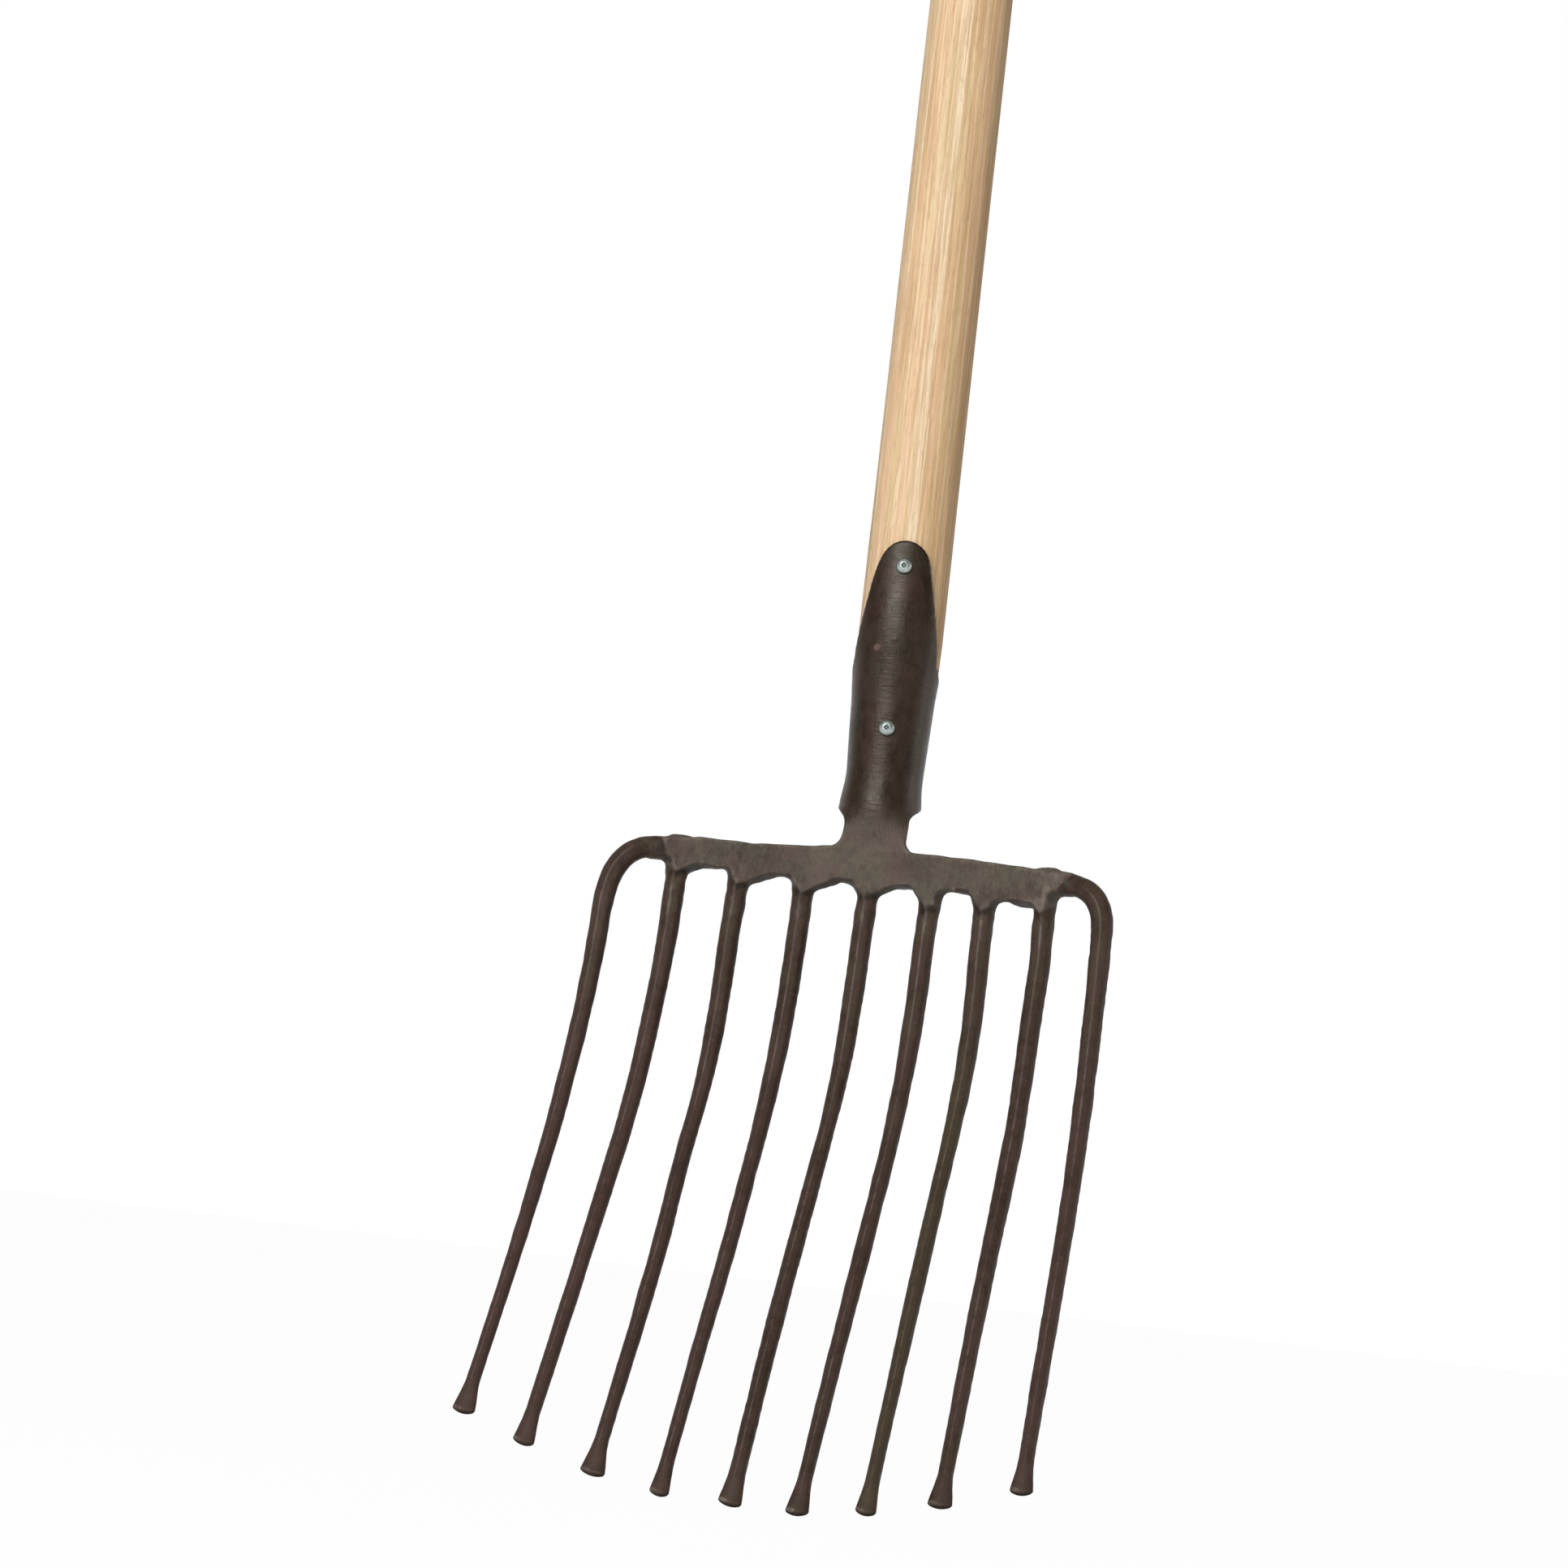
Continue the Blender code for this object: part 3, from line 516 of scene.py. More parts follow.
def sum_node(tree, *terms):
    """The sum of values that are each given with a weight."""
    total, *others = [math_node(tree, "MULTIPLY", value, weight) for value, weight in terms]
    for other in others:
        total = math_node(tree, "ADD", total, other)
    return total


def range_node(tree, value, low, high, to_low=0.0, to_high=1.0):
    """Smooth step between two results, as the value goes from low to high."""
    return add_node(tree, "ShaderNodeMapRange", {"interpolation_type": "SMOOTHSTEP"},
                    {0: value, 1: low, 2: high, 3: to_low, 4: to_high}).outputs[0]


def mix_node(tree, factor, first, second):
    """The first colour where the factor is 0, and the second where it is 1."""
    return add_node(tree, "ShaderNodeMix", {"data_type": "RGBA"},
                    {0: factor, 6: first, 7: second}).outputs[2]


def tint_node(tree, colour, tone, pattern, low, high, most):
    """The colour with a tone mixed in, from none to the most, as a pattern goes from low to high."""
    return mix_node(tree, range_node(tree, pattern, low, high, 0.0, most), colour, tone)


def noise_node(tree, vector, scale, detail, roughness):
    """Cloudy noise round a half, whose largest clouds are one metre over the scale."""
    return add_node(tree, "ShaderNodeTexNoise", {}, {"Vector": vector, "Scale": scale, "Detail": detail,
                                                     "Roughness": roughness}).outputs["Fac"]


def stretch_node(tree, vector, scale):
    """The place with its axes scaled: a pattern is drawn out along one that is scaled down."""
    return add_node(tree, "ShaderNodeMapping", {}, {"Vector": vector, "Scale": scale}).outputs[0]


def mask_node(tree, name):
    """A value that a mesh keeps for each of its points."""
    return add_node(tree, "ShaderNodeAttribute", {"attribute_name": name}).outputs["Fac"]


def new_material(name, roughness, metallic, specular):
    """An empty Principled material with its constants set on the shader itself."""
    material = bpy.data.materials.new(name)
    material.use_nodes = True
    shader = material.node_tree.nodes["Principled BSDF"]
    shader.inputs["Roughness"].default_value = roughness
    shader.inputs["Metallic"].default_value = metallic
    shader.inputs["Specular IOR Level"].default_value = specular
    return material, material.node_tree, shader


def dress(tree, shader, colour, roughness, height, strength, distance):
    """Lead a colour, a roughness and the bump that a height makes to the shader."""
    bump = add_node(tree, "ShaderNodeBump", {}, {"Strength": strength, "Distance": distance,
                                                 "Height": height})
    tree.links.new(colour, shader.inputs["Base Color"])
    tree.links.new(roughness, shader.inputs["Roughness"])
    tree.links.new(bump.outputs[0], shader.inputs["Normal"])


def by_form(tree, given, flat, drawn, rolled):
    """The flat steel's value, and where their masks are 1 the drawn rods' or the rolled socket's."""
    return mix_node(tree, given["Rolled"], mix_node(tree, given["Rod"], flat, drawn), rolled)


def forge_skin_group():
    """Mill scale under lacquer: mottled browns and red flecks. Edges that stand out turn pale, partly as wear
    and partly as a painted highlight, and creases and hollows get painted shade.
    """
    tree = bpy.data.node_groups.new("forge_skin", "ShaderNodeTree")
    for way, kind, names in (("INPUT", "Vector", ("Vector", "Grain")),
                             ("INPUT", "Float", ("Worn_Edges_And_Painted_Light", "Rod", "Rolled", "Red")),
                             ("OUTPUT", "Color", ("Color",)), ("OUTPUT", "Float", ("Roughness", "Height"))):
        for name in names:
            tree.interface.new_socket(name, in_out=way, socket_type="NodeSocket" + kind)
    given = tree.nodes.new("NodeGroupInput").outputs
    broad = noise_node(tree, given["Vector"], 45.0, 4.0, 0.5)
    mottle = noise_node(tree, given["Grain"], 260.0, 6.0, 0.65)
    fine = noise_node(tree, given["Grain"], 1100.0, 3.0, 0.6)
    spread = sum_node(tree, (broad, 0.35), (mottle, 0.40), (fine, 0.25))
    spread = range_node(tree, spread, 0.38, 0.62)
    plate = mix_node(tree, spread, (0.045, 0.034, 0.027, 1), (0.113, 0.092, 0.074, 1))
    rolled = mix_node(tree, spread, (0.016, 0.009, 0.005, 1), (0.035, 0.023, 0.015, 1))
    drawn = mix_node(tree, spread, (0.032, 0.019, 0.014, 1), (0.060, 0.040, 0.030, 1))
    colour = by_form(tree, given, plate, drawn, rolled)
    patch = noise_node(tree, given["Vector"], 95.0, 2.0, 0.5)
    red = math_node(tree, "ADD", given["Red"], range_node(tree, patch, 0.46, 0.66, 0.0, 0.45))
    olive = math_node(tree, "SUBTRACT", range_node(tree, patch, 0.54, 0.34, 0.0, 0.35), given["Red"])
    steel = by_form(tree, given, (0.094, 0.062, 0.057, 1), (0.066, 0.036, 0.032, 1),
                    (0.045, 0.022, 0.018, 1))
    colour = mix_node(tree, math_node(tree, "MINIMUM", red, 0.8), colour, steel)
    green = by_form(tree, given, (0.082, 0.076, 0.058, 1), (0.060, 0.048, 0.029, 1),
                    (0.027, 0.021, 0.014, 1))
    colour = mix_node(tree, math_node(tree, "MAXIMUM", olive, 0.0), colour, green)
    colour = tint_node(tree, colour, (0.140, 0.092, 0.078, 1), given["Red"], 0.62, 0.90, 0.75)
    unrolled = math_node(tree, "SUBTRACT", 1.0, given["Rolled"])
    flecks = range_node(tree, noise_node(tree, given["Vector"], 420.0, 2.0, 0.5), 0.63, 0.72, 0.0, 0.35)
    flecks = math_node(tree, "MULTIPLY", flecks, unrolled)
    colour = mix_node(tree, flecks, colour, (0.105, 0.058, 0.042, 1))
    # Pale edges where the mask is high: partly wear, partly a painted highlight. Painted shade where it is
    # low, in creases and hollows.
    edge = math_node(tree, "MULTIPLY", range_node(tree, given["Worn_Edges_And_Painted_Light"], 0.05, 0.22),
                     range_node(tree, mottle, 0.35, 0.65, 0.10, 0.72))
    edge = math_node(tree, "MULTIPLY", edge, unrolled)
    colour = mix_node(tree, edge, colour, (0.19, 0.165, 0.14, 1))
    painted_crease_shade = range_node(tree, given["Worn_Edges_And_Painted_Light"], -0.18, -0.03, 0.75, 0.0)
    colour = mix_node(tree, painted_crease_shade, colour, (0.010, 0.007, 0.006, 1))
    rough = range_node(tree, mottle, 0.3, 0.7, 0.58, 0.74)
    rough = sum_node(tree, (rough, 1.0), (given["Rod"], -0.12), (given["Rolled"], -0.29))
    round_hairs = noise_node(tree, stretch_node(tree, given["Vector"], (0.16, 0.16, 1.0)), 900.0, 3.0, 0.6)
    hairs = math_node(tree, "MULTIPLY", round_hairs, given["Rolled"])
    height = sum_node(tree, (mottle, 0.7), (fine, 0.3), (hairs, 0.55))
    result = tree.nodes.new("NodeGroupOutput")
    for name, value in (("Color", colour), ("Roughness", rough), ("Height", height)):
        tree.links.new(value, result.inputs[name])
    return tree


forge_skin = forge_skin_group()


def forged_material(name, bump_share, specular, tint):
    """Lacquered forge scale, whose fine grain is drawn out along the way the steel was drawn."""
    material, tree, shader = new_material(name, 0.5, 0.0, specular)
    shader.inputs["Specular Tint"].default_value = tint
    place = add_node(tree, "ShaderNodeTexCoord").outputs["Object"]
    skin_node = add_node(tree, "ShaderNodeGroup", {"node_tree": forge_skin},
                         {"Vector": place, "Grain": stretch_node(tree, place, (1.0, 1.0, 0.5)),
                          "Worn_Edges_And_Painted_Light": mask_node(tree, "crest"), "Rod": mask_node(tree, "drawn_rod"),
                          "Rolled": mask_node(tree, "rolled_plate"), "Red": mask_node(tree, "red_scale")})
    colour, roughness, height = skin_node.outputs
    dress(tree, shader, colour, roughness, height, bump_share, 0.0004)
    return material


def store_mask(piece, name, values):
    """Keep a value for each point of the mesh, for the finish to read."""
    piece.data.attributes.new(name, "FLOAT", "POINT").data.foreach_set("value", values.astype(np.float32))


def crest(piece, points, faces):
    """How far each point stands out from the mean of its surroundings, in millimetres."""
    normals = np.empty(len(points) * 3, np.float32)
    piece.data.vertices.foreach_get("normal", normals)
    stands = np.sum((points - relax(points, faces, 5, 1.0)) * normals.reshape(-1, 3), axis=1)
    return relax(stands[:, None], faces, 2, 0.6)[:, 0]


# The skin is where a field of distances on one grid is 0. The bar and the rods fill its lower
# front part and the plate its middle, and a weld between two of them is as wide as its reach.
BAR_BACK = 2.0
BAR_TOP = 12.0
ROD_REACH = 13.0
CORNER_START = 76.0
PLATE_REACH = 24.0
PLATE_BOTTOM = -9.0
FAR_OFF = 4.0
ROD_WELD = 2.2
CORNER_WELD = 3.5
PLATE_WELD = 1.2

grid_x, grid_y, grid_z = (np.arange(low, high, GRID_STEP, dtype=np.float32)
                          for low, high in zip(GRID_LOW, GRID_HIGH))
field = np.full((len(grid_x), len(grid_y), len(grid_z)), FAR_OFF, np.float32)
low_x = grid_x[:, None, None]
low_y = grid_y[None, grid_y < BAR_BACK, None]
low_z = grid_z[None, None, grid_z < BAR_TOP]
bar_part = field[:, :low_y.size, :low_z.size]
bar_part[...] = bar_field(low_x, low_y, low_z)
for index in range(1, 8):
    near = np.abs(grid_x - dish_point(tine_angles[index], ROD_INSET, 0.0)[0]) < ROD_REACH
    bar_part[near] = weld(bar_part[near], rod_field(low_x[near], low_y, low_z, index), ROD_WELD)
for side in (-1, 1):
    near = side * grid_x > CORNER_START
    bar_part[near] = weld(bar_part[near], outer_rod_field(low_x[near], low_y, low_z, side), CORNER_WELD)
near_x = np.abs(grid_x) < PLATE_REACH
near_z = grid_z > PLATE_BOTTOM
plate_part = plate_field(grid_x[near_x, None, None], grid_y[None, :, None], grid_z[None, None, near_z])
box_x = slice(*(np.flatnonzero(near_x)[[0, -1]] + [0, 1]))
box_z = slice(np.flatnonzero(near_z)[0], None)
field[box_x, :, box_z] = weld(field[box_x, :, box_z], plate_part.astype(np.float32), PLATE_WELD)

# The hammer's dents, wide and small, are deepest on the bar and fade out down the rods' tops
for where in ((slice(None), slice(0, low_y.size), slice(0, low_z.size)), (box_x, slice(None), box_z)):
    x, y, z = grid_x[where[0], None, None], grid_y[None, where[1], None], grid_z[None, None, where[2]]
    dents = (ease((10.0 - z) / 25.0) * 0.16 + 0.025) * ease((z + 36.0) / 12.0)
    field[where] += dents * swell(x, y, z, 13.0, 5) + 0.4 * dents * swell(x, y, z, 4.5, 8)
field[:, :, 0] = FAR_OFF  # nothing fills the lowest layer, which closes the rods' tops that reach it
head_points, head_faces = skin(field, np.array(GRID_LOW), GRID_STEP)
head_points = relax(head_points, head_faces, 2, 0.5)

head_finish = forged_material("head_scale", 0.55, 0.31, (1.0, 0.96, 0.84, 1.0))
head = make_piece("forged_head", head_points, head_faces, head_finish, "fork_head")

# Masks for the finish. What stands out is pale, partly as wear and partly as a painted highlight, and the
# ridges of the rods get a painted highlight. The face is lighter near its right end. What lies back gets
# painted shade, as do the downward slopes below the face and the plate's own edges. The widest scar is red.
face_run, _, face_drop = bar_places(*head_points.T)
below = below_face(face_run, face_drop)
off_edge = np.abs(plate_places(*head_points.T)[1]) + 9.0 * (head_points[:, 2] < 34.0)
# Painted shade on the slopes below the face and along the plate's edges.
painted_shade = ease(below / 0.4) * ease((5.5 - below) / 4.0) * (head_points[:, 1] < 2.0) * (head_points[:, 2] < 0.0)
stands = 0.75 * crest(head, head_points, head_faces) - 0.14 * painted_shade - 0.15 * np.exp(-(off_edge / 0.8) ** 2)
stands += 0.16 * np.exp(-((face_run - 88.0) / 13.0) ** 2) * (below < 0.0) * (head_points[:, 2] < 2.0)
for index in range(1, 8):
    along, away, turn = rod_places(*head_points.T, index)
    on_rod = (away < ROD_RADIUS + 0.4) * ease(below / 1.6)
    # Painted highlight along each rod's ridge.
    stands += 0.10 * hammered(turn, along, index)[1] * on_rod
off_scar = np.linalg.norm(head_points - SCARS[0][0], axis=1)
store_mask(head, "crest", stands)
store_mask(head, "drawn_rod", ease(below / 0.8))
store_mask(head, "rolled_plate", ease((head_points[:, 2] - 2.0) / 20.0))
store_mask(head, "red_scale", np.exp(-(off_scar / 2.9) ** 2))


# Tines: nine round steel rods, drawn down by hand, bent forward below the bar and hammered
# wide and blunt at their tips. Each keeps a faint ridge down its front from the hammer.

TINE_LENGTH = 317.8
TINE_ARC = 34.6
TINE_SKEW = 3.3
TIP_RADIUS = 3.0
TIP_LEAN = math.radians(36.8)
BEND_START = 41.0
BEND_END = 147.0
TIP_HALF_DEPTH = 1.15
TIP_SPREAD = 17.0
TIP_EDGE = 0.9
INNER_START = 24.0
OUTER_START = 11.0
SCALE_START = 55.0
SCALE_LENGTH = 60.0
ROD_SIDES = 56
ROD_STEP = 0.9

# What the hammer left in each rod, from left to right: how far it strays to the right of its
# smooth line at eight places down it, what share of the even taper's thickness it has there, how
# much longer it came out, the slant and the half width of its end, and how red or, below 0, how
# olive its scale turned
STRAY_START = 30.0
STRAY_RUNS = [45.0, 70.0, 95.0, 120.0, 145.0, 195.0, 245.0, 295.0]
STRAY_WINDOW = 43
STRAYS = [
    [-0.2, -0.7, -1.25, -1.6, -1.0, -0.2, -0.3, -0.6],
    [0.4, 0.2, 0.1, 0.1, 0.3, 0.4, 0.5, 0.2],
    [0.0, 0.3, 0.5, 0.2, -0.6, 0.7, 0.5, -0.6],
    [-0.1, 0.1, 0.1, 0.1, 0.1, 0.6, 0.0, -0.1],
    [-0.1, 0.2, 0.8, 0.4, 0.1, -0.2, -0.3, 0.6],
    [-0.2, 0.2, 0.6, 0.6, 0.7, 0.5, 0.2, 0.3],
    [-0.2, 0.8, 1.1, 0.5, 0.2, 0.1, 0.2, 0.5],
    [0.2, 0.0, 0.2, 0.4, 0.2, -0.1, 0.1, 0.5],
    [0.1, -0.2, -0.1, 0.0, 0.3, 0.3, -0.1, -0.1],
]
WAISTS = [
    [0.96, 0.95, 0.92, 0.92, 0.89, 0.85, 0.84, 0.95],
    [0.99, 0.96, 0.96, 0.98, 0.95, 0.95, 0.94, 0.98],
    [0.99, 1.0, 0.98, 0.87, 0.89, 0.96, 0.91, 0.94],
    [1.02, 1.02, 0.99, 0.92, 0.86, 0.93, 0.90, 0.89],
    [1.0, 1.04, 0.96, 0.86, 0.87, 0.99, 1.02, 1.06],
    [1.01, 1.02, 0.98, 0.91, 0.90, 0.96, 0.94, 0.94],
    [1.02, 1.0, 0.98, 0.87, 0.87, 0.96, 0.91, 0.90],
    [1.02, 1.02, 0.98, 1.02, 1.03, 1.01, 0.99, 0.94],
    [0.98, 0.95, 0.97, 0.97, 0.92, 0.95, 0.97, 0.92],
]
LONGER = [3.1, 0.6, 2.0, 2.1, 0.1, 0.8, 0.4, -0.5, 1.3]
END_SLANTS = [0.6, 0.8, 0.9, 0.5, 0.7, -0.2, 0.2, -0.1, -0.2]
TIP_HALF_WIDTHS = [4.8, 4.6, 5.3, 4.1, 4.9, 4.7, 4.2, 4.9, 4.5]
SCALE_REDS = [0.6, 0.5, 0.35, 0.35, 0.1, 0.15, -0.5, 0.15, 0.45]


def ring_angles(sides):
    """Even angles once round, for the sides of each ring of a surface."""
    return np.linspace(0.0, 2.0 * math.pi, sides, endpoint=False)[None, :]


def drawn_line(index, run):
    """Centre line below the root: the lean grows evenly from the bar's to the tip's in the bend, and
    its sine and cosine are summed up over steps of a quarter of a millimetre."""
    fine = np.linspace(0.0, 330.0, 1321)
    lean = ROD_LEAN + (TIP_LEAN - ROD_LEAN) * np.clip((fine - BEND_START) / (BEND_END - BEND_START), 0, 1)
    step = np.diff(fine, prepend=0.0)
    reach = np.interp(run, fine, np.cumsum(np.sin(lean) * step))
    drop = np.interp(run, fine, np.cumsum(np.cos(lean) * step))
    return np.stack([math.tan(TINE_SPLAYS[index]) * drop, -reach, -drop], axis=1)


def tine_line(index):
    """Whole centre line of a rod from inside the bar's skin to its tip, and the run along it."""
    share = index / 4.0 - 1.0
    length = TINE_LENGTH + TINE_SKEW * share - TINE_ARC * share ** 2 + LONGER[index]
    side = {0: -1, 8: 1}.get(index, 0)
    if not side:
        run = np.linspace(INNER_START, length, int((length - INNER_START) / ROD_STEP))
        return dish_point(tine_angles[index], ROD_INSET, 0.0) + drawn_line(index, run), run, length
    corner = corner_path(side)
    travelled = path_lengths(corner)
    fine = np.arange(OUTER_START, travelled[-1], ROD_STEP)
    corner = np.stack([np.interp(fine, travelled, corner[:, axis]) for axis in range(3)], axis=1)
    below = (CORNER_LEVEL + CORNER_FALLS[(side + 1) // 2]) / math.cos(ROD_LEAN)
    run = np.linspace(below, length, int((length - below) / ROD_STEP))[1:]
    hanging = drawn_line(index, run) - drawn_line(index, np.array([below])) + corner[-1]
    return np.concatenate([corner, hanging]), np.concatenate([fine + below - travelled[-1], run]), length


def down_the_rod(run, before, values):
    """Values at the eight places of STRAY_RUNS and before them, evened out by a moving mean."""
    given = np.interp(run, [STRAY_START] + STRAY_RUNS, [before] + values)
    window = np.hanning(STRAY_WINDOW) / np.hanning(STRAY_WINDOW).sum()
    return np.convolve(np.pad(given, STRAY_WINDOW // 2, "edge"), window, "valid")


def tine_surface(index):
    """Rings square to the line. Half width and half depth come from the even taper, the rod's own share of it
    and the flattened tip, whose end is set back at its sides. Small dents and the two hammered flats are
    added. The ridge and a glint on the front of the tip's rim are marked as standing out, for a painted
    highlight; the rest of that rim and the flattened tip are marked as lying back, for painted shade; and the
    rod below its upper quarter is marked as scaled."""
    line, run, length = tine_line(index)
    line[:, 0] += down_the_rod(run, 0.0, STRAYS[index]) + high_stray(index, run)
    for _ in range(12):
        line[1:-1] = (line[:-2] + 2.0 * line[1:-1] + line[2:]) / 4.0
    along = np.gradient(line, axis=0)
    along /= np.linalg.norm(along, axis=1)[:, None]
    back = np.array([0.0, 1.0, 0.0]) - along * along[:, 1:2]
    back /= np.linalg.norm(back, axis=1)[:, None]
    across = np.cross(along, back)
    turn = ring_angles(ROD_SIDES)
    outer = index in (0, 8)
    begin = run[0] + (2.0 if outer else 3.0)
    radius = ROD_RADIUS + (TIP_RADIUS - ROD_RADIUS) * np.clip(run / length, 0, 1)
    radius = (radius - ROD_WASTE * (1.0 - ease((run - begin) / 11.0)))[:, None]
    spread = ease((run - length + TIP_SPREAD) / (TIP_SPREAD + 2.0))[:, None]
    radius = radius * (1.0 + (down_the_rod(run, 1.0, WAISTS[index])[:, None] - 1.0) * (1.0 - spread))
    past = np.clip((run - length + TIP_EDGE) / TIP_EDGE, 0.0, 1.0)[:, None]
    rounding = 0.5 * (1.0 - np.sqrt(np.maximum(1.0 - past ** 2, 0.0)))
    wide = radius + (TIP_HALF_WIDTHS[index] - TIP_RADIUS) * spread - rounding
    deep = radius + (TIP_HALF_DEPTH - TIP_RADIUS) * spread - rounding
    round_marks = 3.0 * np.cos(turn), 3.0 * np.sin(turn)
    dents = 0.07 * swell(run[:, None], *round_marks, 19.0, 20 + index)
    dents += 0.035 * swell(run[:, None], *round_marks, 5.0, 40 + index)
    dents *= ease((run - begin - 6.0) / 20.0)[:, None] * (1.0 - spread)
    flats, ridge = hammered(turn, run[:, None], index)
    kept = (1.0 - spread) * (ease((run[:, None] - begin - 2.0) / 12.0) if outer else 1.0)
    grown = 1.0 + flats * kept + dents / 4.0
    ridge = ridge * kept
    side = np.cos(turn)
    shift = spread ** 4 * (END_SLANTS[index] * side - 1.1 * side ** 2)
    rings = line[:, None, :] + (wide * grown * side)[..., None] * across[:, None, :]
    rings = rings + (deep * grown * np.sin(turn))[..., None] * back[:, None, :]
    rings = rings + shift[..., None] * along[:, None, :]
    # Painted shade on the tip's rim away from its front, and a painted glint on its front left.
    painted_shade = past * ease(1.2 + 1.2 * np.sin(turn))
    painted_glint = np.exp(-((run[:, None] - length + 1.3) / 0.8) ** 2)
    painted_glint = painted_glint * ease(-1.5 * np.sin(turn)) * ease(0.3 - 1.4 * side)
    stands = ridge - 0.5 * spread - 1.6 * painted_shade + 2.6 * painted_glint
    scaled = ease((run[:, None] - SCALE_START) / SCALE_LENGTH)
    return rings, stands, np.broadcast_to(scaled, stands.shape)


def close_tube(rings):
    """Four-sided faces between rings. Each end is closed round its ring's middle point, by faces that
    take in two sides of the ring each, so rings have an even number of sides."""
    count, sides = rings.shape[:2]
    number = np.arange(count * sides).reshape(count, sides)
    after = np.roll(number, -1, axis=1)
    walls = np.stack([number[:-1], after[:-1], after[1:], number[1:]], axis=-1).reshape(-1, 4)
    pairs = np.stack([number, after, np.roll(number, -2, axis=1)], axis=-1)[:, ::2]
    foot = np.insert(pairs[0, :, ::-1], 0, count * sides, axis=1)
    tip = np.insert(pairs[-1], 0, count * sides + 1, axis=1)
    points = np.concatenate([rings.reshape(-1, 3), rings[[0, -1]].mean(axis=1)])
    return points, np.concatenate([walls, foot, tip])


def store_ring_mask(piece, name, values):
    """Keep a value for each point of a closed tube. Its two middle points take those of their rings."""
    store_mask(piece, name, np.append(values, values[[0, -1], 0]))


rod_finish = forged_material("rod_scale", 0.5, 0.24, (1.0, 0.93, 0.82, 1.0))
for index in range(9):
    rings, stands, scaled = tine_surface(index)
    points, faces = close_tube(rings)
    faces = faces[:, ::-1]  # the rings go down the rod, and its faces look outwards
    number = index + 1
    rod = make_piece(f"drawn_tine_{number}", points, faces, rod_finish, f"tine_{number}")
    store_mask(rod, "drawn_rod", np.ones(len(points)))
    store_ring_mask(rod, "crest", 0.18 * stands)
    store_ring_mask(rod, "red_scale", SCALE_REDS[index] * scaled)


# Handle: a straight ash shaft, turned round, sanded and clear lacquered. It is cut down to a
# shoulder along the mouth of the socket, its hidden foot tapers, and the butt is rounded over.

HANDLE_LENGTH = 1350.0
HANDLE_SIDES = 200
FOOT_CHAMFER = 1.2
FOOT_RADIUS = 13.4
BUTT_ROUNDING = 9.0
LEFT_FULL_RADIUS = 18.95


def handle_profile():
    """Heights and radii from the foot up: chamfer, taper, full round, and a quarter round butt. The
    heights lie closer together along the shoulder."""
    butt = HANDLE_FOOT + HANDLE_LENGTH - BUTT_ROUNDING
    turned = np.concatenate([np.linspace(HANDLE_FOOT + FOOT_CHAMFER, 64.0, 20),
                             np.linspace(64.6, 100.0, 60), np.linspace(104.0, butt, 160)])
    turn = np.linspace(0.0, math.pi / 2, 14)[1:]
    heights = np.concatenate([[HANDLE_FOOT], turned, butt + BUTT_ROUNDING * np.sin(turn)])
    rounded = SHAFT_RADIUS - BUTT_ROUNDING + BUTT_ROUNDING * np.cos(turn)
    return heights, np.concatenate([[FOOT_RADIUS], wood_radius(turned), rounded])


